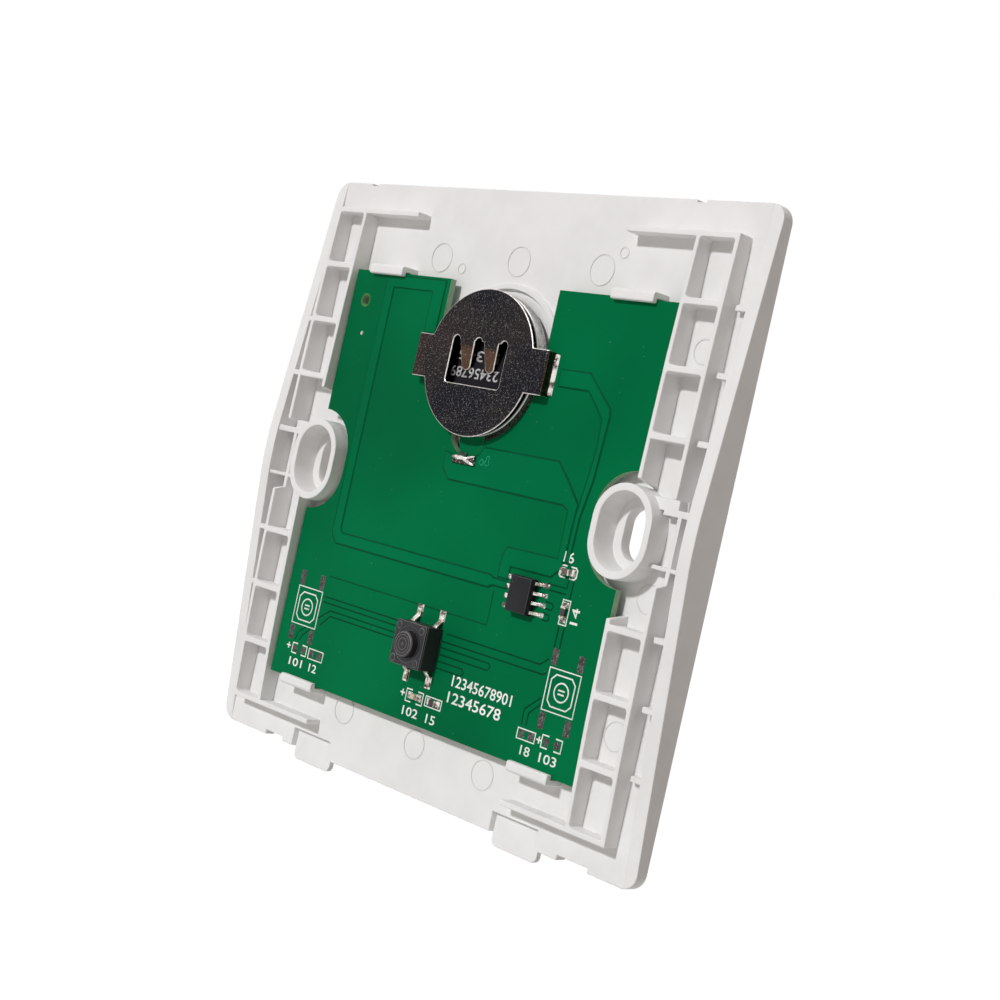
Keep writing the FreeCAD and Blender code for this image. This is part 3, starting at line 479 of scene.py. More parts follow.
class Finish(Enum):
    """Every finish of the switch."""

    SHELL = Plastic(
        "moulded_white", (0.85, 0.845, 0.84), (0.81, 0.805, 0.80), roughness=0.5, grain=12000.0,
        depth=0.000005, specular=0.25)
    # Darker grey of the ejector pin rings: painted shade.
    PIN_MARK_SHADE = Plastic(
        "pin_mark_painted_shade", (0.75, 0.74, 0.73), (0.68, 0.67, 0.66), roughness=0.5, grain=12000.0,
        depth=0.000005, specular=0.25)
    MASK = SolderMask(
        "green_lacquer", (0.0, 0.118, 0.040), (0.0, 0.172, 0.058), laminate=(0.26, 0.40, 0.25),
        fibre=(0.34, 0.46, 0.32), roughness=0.42)
    RELIEF = SolderMask(
        "green_lacquer_on_copper", (0.0, 0.134, 0.047), (0.0, 0.178, 0.063),
        laminate=(0.0, 0.15, 0.055), fibre=(0.0, 0.19, 0.07), roughness=0.4)
    GROOVE = Plastic(
        "green_groove", (0.0, 0.045, 0.018), (0.0, 0.058, 0.024), roughness=0.6, grain=4000.0,
        depth=0.000004, specular=0.05)
    # Dark green lines along the copper relief and the pour edge: painted shade of their raised edges.
    OUTLINE_SHADE = Plastic(
        "green_outline_painted_shade", (0.0, 0.074, 0.028), (0.0, 0.094, 0.037), roughness=0.6, grain=4000.0,
        depth=0.000004, specular=0.05)
    HOLE_RIM = Plastic(
        "lit_hole_rim", (0.09, 0.27, 0.06), (0.03, 0.15, 0.04), roughness=0.5, grain=4000.0,
        depth=0.000004, specular=0.1)
    LIFTED = Plastic(
        "lifted_lacquer", (0.02, 0.36, 0.19), (0.01, 0.26, 0.13), roughness=0.5, grain=3000.0,
        depth=0.000006, specular=0.1)
    INK = Plastic(
        "white_ink", (0.90, 0.92, 0.89), (0.74, 0.80, 0.75), roughness=0.6, grain=7000.0,
        depth=0.000008, specular=0.2)
    PAD = Metal(
        "bare_pad", (0.10, 0.092, 0.088), (0.055, 0.048, 0.046), glint=(0.22, 0.21, 0.20),
        roughness=0.45, grain=2500.0, depth=0.00002, glint_start=0.6)
    SHEET = StampedSheet(
        "dark_sheet", (0.0125, 0.0125, 0.0165), (0.027, 0.021, 0.020),
        low_color=(0.085, 0.044, 0.028), scratch=(0.40, 0.37, 0.36), bend_height=5.62,
        tab_start=9.4)
    # Rounded edges of the retainer: bare cut metal, with a painted highlight along them.
    SHEET_EDGE_HIGHLIGHT = Metal(
        "sheet_edge_painted_highlight", (0.80, 0.76, 0.72), (0.55, 0.50, 0.47), glint=(0.9, 0.88, 0.86),
        roughness=0.34)
    # The cell's front and side colours are painted reflections, dark and bright.
    CELL = CellSteel(
        "cell_steel", face=(0.014, 0.013, 0.016), side=(0.62, 0.61, 0.60))
    ETCH = Metal(
        "cell_etching", (0.46, 0.45, 0.44), (0.32, 0.31, 0.30), glint=(0.7, 0.7, 0.7),
        roughness=0.45)
    # Tin: its dark clouds are painted dark reflections and its bright spots painted glints.
    TIN = Metal(
        "tinned_lead", (0.82, 0.78, 0.74), (0.24, 0.19, 0.145), glint=(0.95, 0.93, 0.91),
        roughness=0.24)
    # Solder: its dark clouds are painted dark reflections and its bright spots painted glints.
    SOLDER = Metal(
        "flowed_solder", (0.78, 0.74, 0.70), (0.11, 0.085, 0.07), glint=(0.95, 0.93, 0.91),
        roughness=0.2, grain=1400.0, depth=0.00006, glint_start=0.62)
    # Dark solder around the contact's bright drops: painted shade.
    SOLDER_SHADE = Metal(
        "solder_painted_shade", (0.06, 0.05, 0.04), (0.02, 0.02, 0.016), glint=(0.55, 0.50, 0.46),
        roughness=0.35, grain=1400.0, depth=0.00006, glint_start=0.62)
    # Dark green of the contact strip: painted shade under the cell with a painted reflection of the
    # board.
    STRIP_SHADE = Metal(
        "contact_strip_painted_shade", (0.045, 0.07, 0.05), (0.025, 0.045, 0.03), glint=(0.14, 0.17, 0.14),
        roughness=0.5)
    SWITCH_BLACK = Plastic(
        "switch_black", (0.018, 0.019, 0.022), (0.026, 0.027, 0.030), roughness=0.42, grain=6000.0,
        depth=0.000012, specular=0.3)
    # Grey on the black switch's rounded edges and plunger rings: a painted highlight.
    SWITCH_EDGE_HIGHLIGHT = Plastic(
        "switch_edge_painted_highlight", (0.17, 0.165, 0.165), (0.09, 0.088, 0.09), roughness=0.4, grain=6000.0,
        depth=0.000008, specular=0.5)
    PLUNGER_BLACK = Plastic(
        "plunger_black", (0.018, 0.017, 0.018), (0.032, 0.028, 0.028), roughness=0.36, grain=5000.0,
        depth=0.000012, specular=0.3)
    CHIP_BLACK = Plastic(
        "chip_black", (0.008, 0.0085, 0.011), (0.016, 0.017, 0.020), roughness=0.55, grain=8000.0,
        depth=0.000012, specular=0.2)
    # Lighter grey on the chip's rounded edges: a painted highlight.
    CHIP_EDGE_HIGHLIGHT = Plastic(
        "chip_edge_painted_highlight", (0.045, 0.045, 0.050), (0.028, 0.028, 0.032), roughness=0.5, grain=8000.0,
        depth=0.000008, specular=0.3)
    CAPACITOR = Plastic(
        "capacitor_ceramic", (0.11, 0.085, 0.065), (0.07, 0.055, 0.04), roughness=0.4, grain=5000.0)
    RESISTOR = Plastic(
        "resistor_glaze", (0.018, 0.018, 0.022), (0.03, 0.03, 0.034), roughness=0.35, grain=5000.0)
    CARRIER = Plastic(
        "indicator_carrier", (0.62, 0.60, 0.52), (0.55, 0.54, 0.46), roughness=0.5, grain=5000.0)
    RESIN = Plastic(
        "indicator_resin", (0.66, 0.62, 0.46), (0.50, 0.44, 0.28), roughness=0.2, grain=3000.0)


class Palette:
    """Builds each finish once."""

    def __init__(self) -> None:
        """Starts with no material."""
        self._made: dict[Finish, bpy.types.Material] = {}

    def get(self, finish: Finish) -> bpy.types.Material:
        """Material of a finish."""
        if finish not in self._made:
            self._made[finish] = finish.value.build()
        return self._made[finish]


@dataclass(frozen=True)
class Label:
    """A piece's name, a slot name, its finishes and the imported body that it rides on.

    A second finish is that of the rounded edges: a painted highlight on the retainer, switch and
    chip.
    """

    name: str
    slot: str
    finishes: tuple[Finish, ...]
    body: str = "base"


@dataclass(frozen=True)
class Dressing(Label):
    """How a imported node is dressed: how wide its edges' rounding is, and its faces across."""

    rounding: float = 0.05
    segments: int = 2


@dataclass(frozen=True)
class Ring:
    """A low ring of rectangular section: its middle, inner radius, width and thickness."""

    place: Place
    radius: float
    width: float
    rise: float

    def add(self, shape: bmesh.types.BMesh, base: float) -> None:
        """Adds the ring.

        Args:
            shape: the bmesh to add to.
            base: height of the ring's underside.
        """
        x, z = self.place
        inner, outer, top = self.radius, self.radius + self.width, base + self.rise
        section = ((inner, base), (inner, top), (outer, top), (outer, base))
        corners = [shape.verts.new(at(x + reach, z, height)) for reach, height in section]
        edges = [shape.edges.new((corners[index], corners[(index + 1) % 4])) for index in range(4)]
        bmesh.ops.spin(shape, geom=corners + edges, cent=at(x, z, 0.0), axis=(0.0, 1.0, 0.0),
                       angle=math.tau, steps=RING_STEPS, use_merge=True)


@dataclass(frozen=True)
class Tile:
    """A low tile with rounded front edges: its middle, its width and length, its thickness."""

    place: Place
    size: Place
    rise: float = 0.03

    def add(self, shape: bmesh.types.BMesh, base: float) -> None:
        """Adds the tile.

        Args:
            shape: the bmesh to add to.
            base: height of the tile's underside.
        """
        middle = Matrix.Translation(at(self.place[0], self.place[1], base + self.rise / 2))
        scale = Matrix.Diagonal((self.size[0] * MM, self.rise * MM, self.size[1] * MM, 1.0))
        made = bmesh.ops.create_cube(shape, size=1.0, matrix=middle @ scale)
        front = [edge for vertex in made["verts"] for edge in vertex.link_edges
                 if all(end.co.y < -(base + self.rise * 0.9) * MM for end in edge.verts)]
        bmesh.ops.bevel(shape, geom=list(set(front)), offset=self.rise * RIM_SHARE * MM,
                        offset_type="OFFSET", segments=2, profile=0.5, affect="EDGES", material=-1)


@dataclass
class Workbench:
    """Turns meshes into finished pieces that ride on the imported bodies."""

    nodes: dict[str, bpy.types.Object]
    palette: Palette = field(default_factory=Palette)

    def dress(self, node: str, finish: Finish) -> None:
        """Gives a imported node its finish.

        Args:
            node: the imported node.
            finish: its finish.
        """
        owner = self.nodes[node]
        material = self.palette.get(finish)
        if owner.material_slots:
            owner.material_slots[0].material = material
        else:
            owner.data.materials.append(material)

    def piece(self, label: Label, mesh: bpy.types.Mesh) -> bpy.types.Object:
        """Makes an object of a mesh.

        Args:
            label: the piece's label.
            mesh: its mesh, already in place.

        Returns:
            The object.
        """
        if mesh.materials:
            mesh.materials.clear()
        for finish in label.finishes:
            mesh.materials.append(self.palette.get(finish))
        made = bpy.data.objects.new(label.name, mesh)
        bpy.context.scene.collection.objects.link(made)
        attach(made, label.body)
        LOG.info("%s: %d faces", label.name, len(mesh.polygons))
        return made

    def close(self, label: Label, shape: bmesh.types.BMesh) -> bpy.types.Object:
        """Makes a piece of a bmesh whose normals are set outwards first.

        Args:
            label: the piece's label.
            shape: the bmesh, which is freed.

        Returns:
            The piece.
        """
        bmesh.ops.recalc_face_normals(shape, faces=shape.faces[:])
        return self.piece(label, self._freed(label.name, shape))

    def soften(self, how: Dressing) -> bpy.types.Object:
        """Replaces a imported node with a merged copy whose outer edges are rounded.

        Args:
            how: the node's dressing, which bears the node's name.

        Returns:
            The piece.
        """
        shape = bmesh.new()
        shape.from_mesh(self.nodes[how.name].data)
        bmesh.ops.remove_doubles(shape, verts=shape.verts[:],
                                 dist=min(how.rounding * MERGE_SHARE, MERGE_MOST) * MM)
        bmesh.ops.dissolve_limit(shape, angle_limit=FLAT_ANGLE, verts=shape.verts[:],
                                 edges=shape.edges[:])
        corners = [edge for edge in shape.edges
                   if edge.is_manifold and edge.calc_face_angle(0.0) > CORNER_ANGLE]
        for edge in corners:
            edge.smooth = edge.is_convex
        # Where a piece has two finishes, the rounded edges take the second, a painted highlight.
        bmesh.ops.bevel(shape, geom=[edge for edge in corners if edge.is_convex],
                        offset=how.rounding * MM, offset_type="OFFSET", segments=how.segments,
                        profile=0.5, affect="EDGES", clamp_overlap=False, loop_slide=False,
                        miter_outer="ARC",
                        material=len(how.finishes) - 1 if len(how.finishes) > 1 else -1)
        for edge in shape.edges:
            if edge.is_manifold and edge.calc_face_angle(0.0) > CREASE_ANGLE:
                edge.smooth = False
        for face in shape.faces:
            face.smooth = True
        label = Label(how.name + "_soft", how.slot, how.finishes, how.body)
        made = self.piece(label, self._freed(label.name, shape))
        flatten = made.modifiers.new("flat_faces", "WEIGHTED_NORMAL")
        flatten.mode = "FACE_AREA"
        flatten.keep_sharp = True
        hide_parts(how.name)
        return made

    def trim(self, label: Label, forms: list[Ring] | list[Tile], base: float) -> bpy.types.Object:
        """Low rings or tiles that stand on one surface.

        Args:
            label: the piece's label.
            forms: the rings or tiles.
            base: height of their undersides.

        Returns:
            The piece.
        """
        shape = bmesh.new()
        for form in forms:
            form.add(shape, base)
        return self.close(label, shape)

    def plate(self, label: Label, outlines: list[list[Place]], base: float,
              rise: float) -> bpy.types.Object:
        """Low flat shapes with softened rims that lie on a surface.

        Args:
            label: the piece's label.
            outlines: closed outlines of (x, z) places.
            base: height of the surface.
            rise: thickness of the shapes.

        Returns:
            The piece.
        """
        curve = bpy.data.curves.new(label.name, "CURVE")
        curve.dimensions = "2D"
        curve.fill_mode = "BOTH"
        edge = rise * RIM_SHARE * MM
        curve.extrude = rise * MM / 2 - edge / 2
        curve.bevel_depth = edge / 2
        curve.offset = -edge / 2
        for outline in outlines:
            self._spline(curve, [(x * MM, z * MM, 0.0) for x, z in outline], True)
        turn = Matrix.Translation(at(0.0, 0.0, base + rise / 2)) @ FACE_ROOM
        return self.piece(label, self._baked(curve, turn))

    def lines(self, label: Label, runs: list[Run], base: float, width: float,
              rise: float) -> bpy.types.Object:
        """Low rounded lines that lie on a surface.

        Args:
            label: the piece's label.
            runs: lines of (x, z) places, each with True where it closes.
            base: height of the surface.
            width: width of a line.
            rise: its height over the surface.

        Returns:
            The piece.
        """
        curve = bpy.data.curves.new(label.name, "CURVE")
        curve.dimensions = "3D"
        curve.bevel_depth = width * MM / 2
        curve.bevel_resolution = 1
        curve.use_fill_caps = True
        for points, closed in runs:
            self._spline(curve, [(x * MM, 0.0, z * MM) for x, z in points], closed)
        squash = Matrix.Diagonal((1.0, 2.0 * rise / width, 1.0, 1.0))
        flat = Matrix.Translation(at(0.0, 0.0, base)) @ squash
        return self.piece(label, self._baked(curve, flat))

    def digits(self, label: Label, body: str, low: Place, high: Place, base: float,
               turn: float = 0.0) -> bpy.types.Object:
        """Plain numbers set to fill a field.

        Args:
            label: the piece's label.
            body: the numbers.
            low: lower left corner of the field.
            high: upper right corner of the field.
            base: height of the surface.
            turn: turn of the numbers in degrees.

        Returns:
            The piece.
        """
        curve = bpy.data.curves.new(label.name, "FONT")
        curve.body = body
        curve.size = DIGIT_SIZE * MM
        curve.extrude = DIGIT_RISE * MM
        curve.offset = DIGIT_SPREAD * MM
        curve.resolution_u = 3
        mesh = self._baked(curve, Matrix.Rotation(math.radians(turn), 4, "Z"))
        xs = [vertex.co.x for vertex in mesh.vertices]
        ys = [vertex.co.y for vertex in mesh.vertices]
        scale_x = (high[0] - low[0]) * MM / (max(xs) - min(xs))
        scale_y = (high[1] - low[1]) * MM / (max(ys) - min(ys))
        shift = Matrix.Translation(Vector((-min(xs), -min(ys), 0.0)))
        stretch = Matrix.Diagonal((scale_x, scale_y, 1.0, 1.0))
        corner = Matrix.Translation(at(low[0], low[1], base + PRINT_GAP))
        mesh.transform(corner @ FACE_ROOM @ stretch @ shift)
        return self.piece(label, mesh)

    @staticmethod
    def _freed(name: str, shape: bmesh.types.BMesh) -> bpy.types.Mesh:
        """Makes a mesh of a bmesh and frees that.

        Args:
            name: the mesh's name.
            shape: the bmesh.

        Returns:
            The mesh.
        """
        mesh = bpy.data.meshes.new(name)
        shape.to_mesh(mesh)
        shape.free()
        return mesh

    @staticmethod
    def _spline(curve: bpy.types.Curve, points: list[Triple], closed: bool) -> None:
        """Adds a straight-run spline to a curve.

        Args:
            curve: the curve to add to.
            points: its points in metres.
            closed: True where the last point joins the first.
        """
        spline = curve.splines.new("POLY")
        spline.points.add(len(points) - 1)
        for index, point in enumerate(points):
            spline.points[index].co = (*point, 1.0)
        spline.use_cyclic_u = closed

    @staticmethod
    def _baked(curve: bpy.types.Curve, turn: Matrix) -> bpy.types.Mesh:
        """Makes the mesh of a curve or text and turns it into place.

        Args:
            curve: the curve or text.
            turn: the matrix that places it.

        Returns:
            The mesh.
        """
        holder = bpy.data.objects.new("holder", curve)
        bpy.context.scene.collection.objects.link(holder)
        bpy.context.view_layer.update()
        graph = bpy.context.evaluated_depsgraph_get()
        mesh = bpy.data.meshes.new_from_object(holder.evaluated_get(graph))
        bpy.data.objects.remove(holder)
        mesh.transform(turn)
        return mesh


@dataclass
class Assembly:
    """One sub-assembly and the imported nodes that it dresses."""

    bench: Workbench
    dressings: tuple[Dressing, ...] = ()

    def build(self) -> None:
        """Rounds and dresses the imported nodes."""
        for dressing in self.dressings:
            self.bench.soften(dressing)


@dataclass
class BasePlate(Assembly):
    """The white moulding and the faint rings that its ejector pins left, painted darker as painted
    shade.
    """

    dressings: tuple[Dressing, ...] = (
        Dressing("base_plate", "base_plastic", (Finish.SHELL,), rounding=0.14),)
    ring_width: float = 0.15
    ring_rise: float = 0.09
    rings: tuple[tuple[Place, float], ...] = (
        ((-15.8, 32.0), 2.0), ((-0.25, 32.4), 2.0), ((15.2, 32.3), 2.0), ((-11.2, 30.7), 0.65),
        ((18.4, 34.8), 0.65), ((-15.4, -34.4), 1.9), ((0.1, -35.3), 1.9), ((13.8, -35.7), 1.9),
        ((34.7, -7.7), 1.75), ((34.7, 23.4), 1.5), ((34.3, -25.0), 1.75))

    def build(self) -> None:
        """Builds the moulding's pieces."""
        super().build()
        marks = [Ring(place, radius, self.ring_width, self.ring_rise + DEEP_SUNK)
                 for place, radius in self.rings]
        self.bench.trim(Label("ejector_marks", "base_plastic", (Finish.PIN_MARK_SHADE,)), marks,
                        FLOOR_FRONT - DEEP_SUNK)


@dataclass
class RadioBoard(Assembly):
    """The board's lacquer, relief of its copper, white marking and bare pads."""

    relief: float = 0.09
    line: float = 0.25
    rim_line: float = 0.62
    shade_rise: float = 0.012
    groove_rise: float = 0.008
    cover_sunk: float = 0.08
    cover_rise: float = 0.1
    ink_rise: float = 0.014
    hole_rim: Ring = Ring((-27.9, 24.3), 0.8, 0.22, 0.03)
    open_via: Ring = Ring((-27.15, 19.4), 0.06, 0.24, 0.025)
    scars: tuple[Ring, ...] = (
        Ring((3.25, 4.45), 0.3, 0.13, 0.03), Ring((4.25, 4.5), 0.32, 0.13, 0.03),
        Ring((4.3, 5.15), 0.2, 0.13, 0.03))
    antenna: tuple[Place, ...] = (
        (-23.85, 28.3), (-11.5, 28.3), (-11.5, 20.9), (-13.7, 20.9), (-13.7, 26.75), (-22.3, 26.75),
        (-22.3, -9.3), (-21.7, -9.9), (9.3, -9.9), (10.1, -10.2), (12.6, -10.2), (12.6, -10.95),
        (10.1, -10.95), (9.3, -11.35), (-22.6, -11.35), (-23.85, -10.1))
    ground: tuple[Place, ...] = (
        (-4.1, 4.95), (-3.8, 2.7), (-2.45, 1.37), (19.4, 1.4), (20.5, 0.8), (20.55, -5.6),
        (11.4, -5.8), (10.9, -7.1), (10.8, -9.7), (12.6, -9.7), (12.6, -8.0), (19.9, -7.9),
        (21.4, -6.6), (21.75, 1.7), (19.1, 4.55), (17.0, 6.55), (3.2, 6.4), (2.6, 5.3), (0.9, 4.4),
        (-2.0, 4.4))
    strip_cover: tuple[Place, ...] = (
        (-1.75, 7.9), (-1.95, 6.8), (-1.55, 5.6), (-0.9, 4.8), (0.2, 4.8), (1.6, 5.55), (2.45, 6.6),
        (2.75, 7.9))
    tab_track: tuple[Place, ...] = (
        (13.97, 18.4), (19.04, 18.4), (23.6, 14.3), (23.8, 13.3), (23.4, 5.2), (22.5, 0.0),
        (22.4, -5.7), (21.9, -5.7), (21.95, 0.0), (22.6, 5.2), (23.0, 9.3), (22.8, 12.9),
        (21.5, 14.4), (19.55, 16.3), (14.05, 16.3))
    edges: tuple[tuple[Place, ...], ...] = (((-22.4, -16.35), (10.6, -16.35), (10.6, -11.7)),)
    grooves: tuple[tuple[Place, ...], ...] = (
        ((-25.2, -24.55), (-26.5, -25.5), (-27.1, -26.9)),
        ((-24.1, -24.55), (-25.6, -25.9), (-26.1, -26.8)), ((-22.5, -19.4), (-3.2, -19.4)),
        ((-22.5, -20.2), (-3.2, -20.2)), ((-23.0, -22.8), (-20.6, -21.15), (-3.2, -21.15)),
        ((-22.3, -23.7), (-20.4, -21.93), (-3.2, -21.93)),
        ((3.8, -19.1), (21.4, -19.1), (22.7, -18.1)),
        ((3.2, -20.24), (22.2, -20.24), (22.75, -19.9)),
        ((3.2, -21.09), (12.5, -21.09), (12.95, -21.55), (12.5, -22.04), (3.2, -22.04)),
        ((3.2, -22.97), (8.0, -22.97), (8.4, -23.45), (8.0, -23.92), (3.2, -23.92)),
        ((23.12, -13.8), (23.12, -16.6)), ((24.05, -13.8), (24.05, -16.6)),
        ((19.7, -8.9), (23.06, -8.9), (23.06, -7.8)), ((23.95, -7.8), (23.95, -10.1)),
        ((20.1, -9.65), (23.1, -9.65)), ((22.8, -23.1), (20.4, -25.2), (20.5, -27.2)),
        ((23.0, -23.9), (21.3, -25.5), (21.3, -27.2)),
        ((20.0, -11.2), (21.3, -11.3), (21.5, -11.7), (21.2, -12.1), (20.0, -12.1)),
        ((20.0, -12.7), (21.0, -12.8), (21.2, -13.3), (20.9, -13.6), (20.0, -13.6)))
    frames: tuple[tuple[float, float, float, float], ...] = (
        (-28.6, -24.47, -23.15, -18.93), (23.2, -24.46, 28.6, -19.0), (22.9, -13.5, 24.2, -10.33),
        (-23.35, -28.8, -20.1, -27.35), (20.1, -29.0, 23.25, -27.65), (2.5, -29.3, 5.65, -27.95))
    brackets: tuple[tuple[float, float, float, float], ...] = (
        (-27.2, -28.75, -23.9, -27.3), (24.45, -29.05, 27.9, -27.45), (-1.4, -29.55, 1.93, -27.86))
    bracket_arm: float = 0.33
    sockets: tuple[Place, ...] = ((-25.9, -21.75), (25.9, -21.75))
    socket_reach: float = 2.05
    socket_inner: float = 1.35
    socket_circle: float = 1.2
    sign_reach: float = 0.55
    sign_gap: float = 0.25
    crosses: tuple[Place, ...] = ((-28.1, -27.9), (-2.15, -28.6), (24.0, -28.3))
    cross_reach: float = 0.45
    curved_frame: Place = (22.7, -6.87)
    curved_side: tuple[Place, ...] = (
        (0.35, 0.75), (1.2, 0.75), (1.5, 0.45), (1.5, -0.45), (1.2, -0.75), (0.35, -0.75))
    numbers: tuple[tuple[str, Place, Place], ...] = (
        ("12345678901", (6.7, -25.6), (18.0, -24.05)), ("12345678", (6.5, -27.85), (16.6, -26.3)),
        ("101", (-27.3, -30.6), (-24.3, -29.4)), ("12", (-22.6, -30.6), (-20.9, -29.4)),
        ("102", (-1.5, -31.5), (1.6, -30.25)), ("15", (3.3, -31.5), (5.1, -30.25)),
        ("18", (21.2, -30.9), (22.9, -29.65)), ("103", (24.6, -30.95), (27.6, -29.7)),
        ("16", (21.4, -5.7), (23.2, -4.3)))
    turned_number: tuple[str, Place, Place] = ("14", (24.75, -13.1), (26.05, -11.0))
    bare_size: Place = (0.9, 0.95)
    bare_places: tuple[Place, ...] = (
        (-26.4, -28.02), (-24.75, -28.02), (-22.6, -28.05), (-20.95, -28.05), (20.9, -28.3),
        (22.5, -28.3), (25.25, -28.28), (27.05, -28.25))
    switch_across: float = 2.25
    socket_rows: Limits = (4.15, -4.1)
    socket_pad: Place = (1.05, 2.1)
    switch_rows: Limits = (-4.55, 4.55)
    switch_pad: Place = (1.15, 1.7)
    chip_place: Place = (16.4, -11.2)
    chip_across: float = 3.0
    chip_pitch: float = 1.27
    chip_pad: Place = (1.5, 0.6)
    level_parts: tuple[Place, ...] = ((22.7, -6.85), (4.05, -28.6), (0.3, -28.65))
    level_pad: Place = (0.85, 0.95)
    upright_part: Place = (23.5, -11.9)
    upright_pad: Place = (0.95, 0.85)
    part_reach: float = 0.9

    def build(self) -> None:
        """Builds the board's surface pieces."""
        self.bench.dress("circuit_board", Finish.MASK)
        copper = [list(self.antenna), list(self.ground), list(self.tab_track)]
        self.bench.plate(self._label("copper_relief", Finish.RELIEF), copper, BOARD_FRONT - SUNK,
                         self.relief + SUNK)
        self.bench.plate(self._label("strip_cover", Finish.MASK), [list(self.strip_cover)],
                         BOARD_FRONT - self.cover_sunk, self.cover_rise)
        # copper_shade and pour_edges are dark lines of painted shade along raised copper edges;
        # track_gaps are darker gaps between tracks.
        for name, outlines, closed, width, rise, finish in (
                ("copper_shade", copper, True, self.rim_line, self.shade_rise, Finish.OUTLINE_SHADE),
                ("pour_edges", self.edges, False, self.line, self.shade_rise, Finish.OUTLINE_SHADE),
                ("track_gaps", self.grooves, False, self.line, self.groove_rise, Finish.GROOVE)):
            runs = [(list(points), closed) for points in outlines]
            self.bench.lines(self._label(name, finish), runs, BOARD_FRONT, width, rise)
        self._ink()
        self._pads()
        base = BOARD_FRONT - SUNK
        self.bench.trim(self._label("hole_rim", Finish.HOLE_RIM), [self.hole_rim], base)
        self.bench.trim(self._label("lacquer_scar", Finish.LIFTED), list(self.scars),
                        base + self.relief)
        self.bench.trim(Label("open_via", "solder", (Finish.TIN,)), [self.open_via], base)

    def _label(self, name: str, finish: Finish) -> Label:
        """Label of a piece of the board itself."""
        return Label(name, "board_laminate", (finish,))

    def _ink(self) -> None:
        """White marking: frames, sockets, polarity crosses and plain numbers."""
        runs: list[Run] = []
        for left, low, right, high in self.frames:
            runs.append(([(left, low), (right, low), (right, high), (left, high)], True))
        for left, low, right, high in self.brackets:
            arm = (right - left) * self.bracket_arm
            for edge, inner in ((left, left + arm), (right, right - arm)):
                runs.append(([(inner, low), (edge, low), (edge, high), (inner, high)], False))
        for x, z in self.sockets:
            runs += self._socket(x, z)
        reach = self.cross_reach
        for x, z in self.crosses:
            runs.append(([(x - reach, z), (x + reach, z)], False))
            runs.append(([(x, z - reach), (x, z + reach)], False))
        x, z = self.curved_frame
        for side in (-1.0, 1.0):
            runs.append(([(x + side * across, z + up) for across, up in self.curved_side], False))
        self.bench.lines(self._label("marking_lines", Finish.INK), runs, BOARD_FRONT, self.line,
                         self.ink_rise)
        for index, (body, low, high) in enumerate(self.numbers):
            label = self._label(f"marking_number_{index}", Finish.INK)
            self.bench.digits(label, body, low, high, BOARD_FRONT)
        self.bench.digits(self._label("marking_number_turned", Finish.INK), *self.turned_number,
                          BOARD_FRONT, 90.0)

    def _socket(self, x: float, z: float) -> list[Run]:
        """Marking of an empty place for a push switch: cut square, circle and equals sign.

        Args:
            x: the place's distance across.
            z: the place's height on the board.

        Returns:
            The lines.
        """
        reach, inner = self.socket_reach, self.socket_inner
        square = [(x - reach, z - inner), (x - inner, z - reach), (x + inner, z - reach),
                  (x + reach, z - inner), (x + reach, z + inner), (x + inner, z + reach),
                  (x - inner, z + reach), (x - reach, z + inner)]
        turns = [math.tau * index / CIRCLE_STEPS for index in range(CIRCLE_STEPS)]
        circle = [(x + self.socket_circle * math.cos(turn), z + self.socket_circle * math.sin(turn))
                  for turn in turns]
        sign = [([(x - self.sign_reach, z + up), (x + self.sign_reach, z + up)], False)
                for up in (-self.sign_gap, self.sign_gap)]
        return [(square, True), (circle, True), *sign]

    def _pads(self) -> None:
        """Bare pads of the empty places and tinned pads under the fitted parts."""
        base = BOARD_FRONT - SUNK
        columns = (-self.switch_across, self.switch_across)
        bare = [Tile(place, self.bare_size) for place in self.bare_places]
        for x, z in self.sockets:
            bare += [Tile((x + across, z + up), self.socket_pad)
                     for across in columns for up in self.socket_rows]
        self.bench.trim(Label("bare_pads", "contact_steel", (Finish.PAD,)), bare, base)
        x, z = SWITCH_PLACE
        tinned = [Tile((x + across, z + up), self.switch_pad)
                  for across in columns for up in self.switch_rows]
        x, z = self.chip_place
        tinned += [Tile((x + across, z + (index - 1.5) * self.chip_pitch), self.chip_pad)
                   for index in range(4) for across in (-self.chip_across, self.chip_across)]
        ends = (-self.part_reach, self.part_reach)
        tinned += [Tile((x + end, z), self.level_pad) for x, z in self.level_parts for end in ends]
        x, z = self.upright_part
        tinned += [Tile((x, z + end), self.upright_pad) for end in ends]
        self.bench.trim(Label("tinned_pads", "solder", (Finish.SOLDER,)), tinned, base)


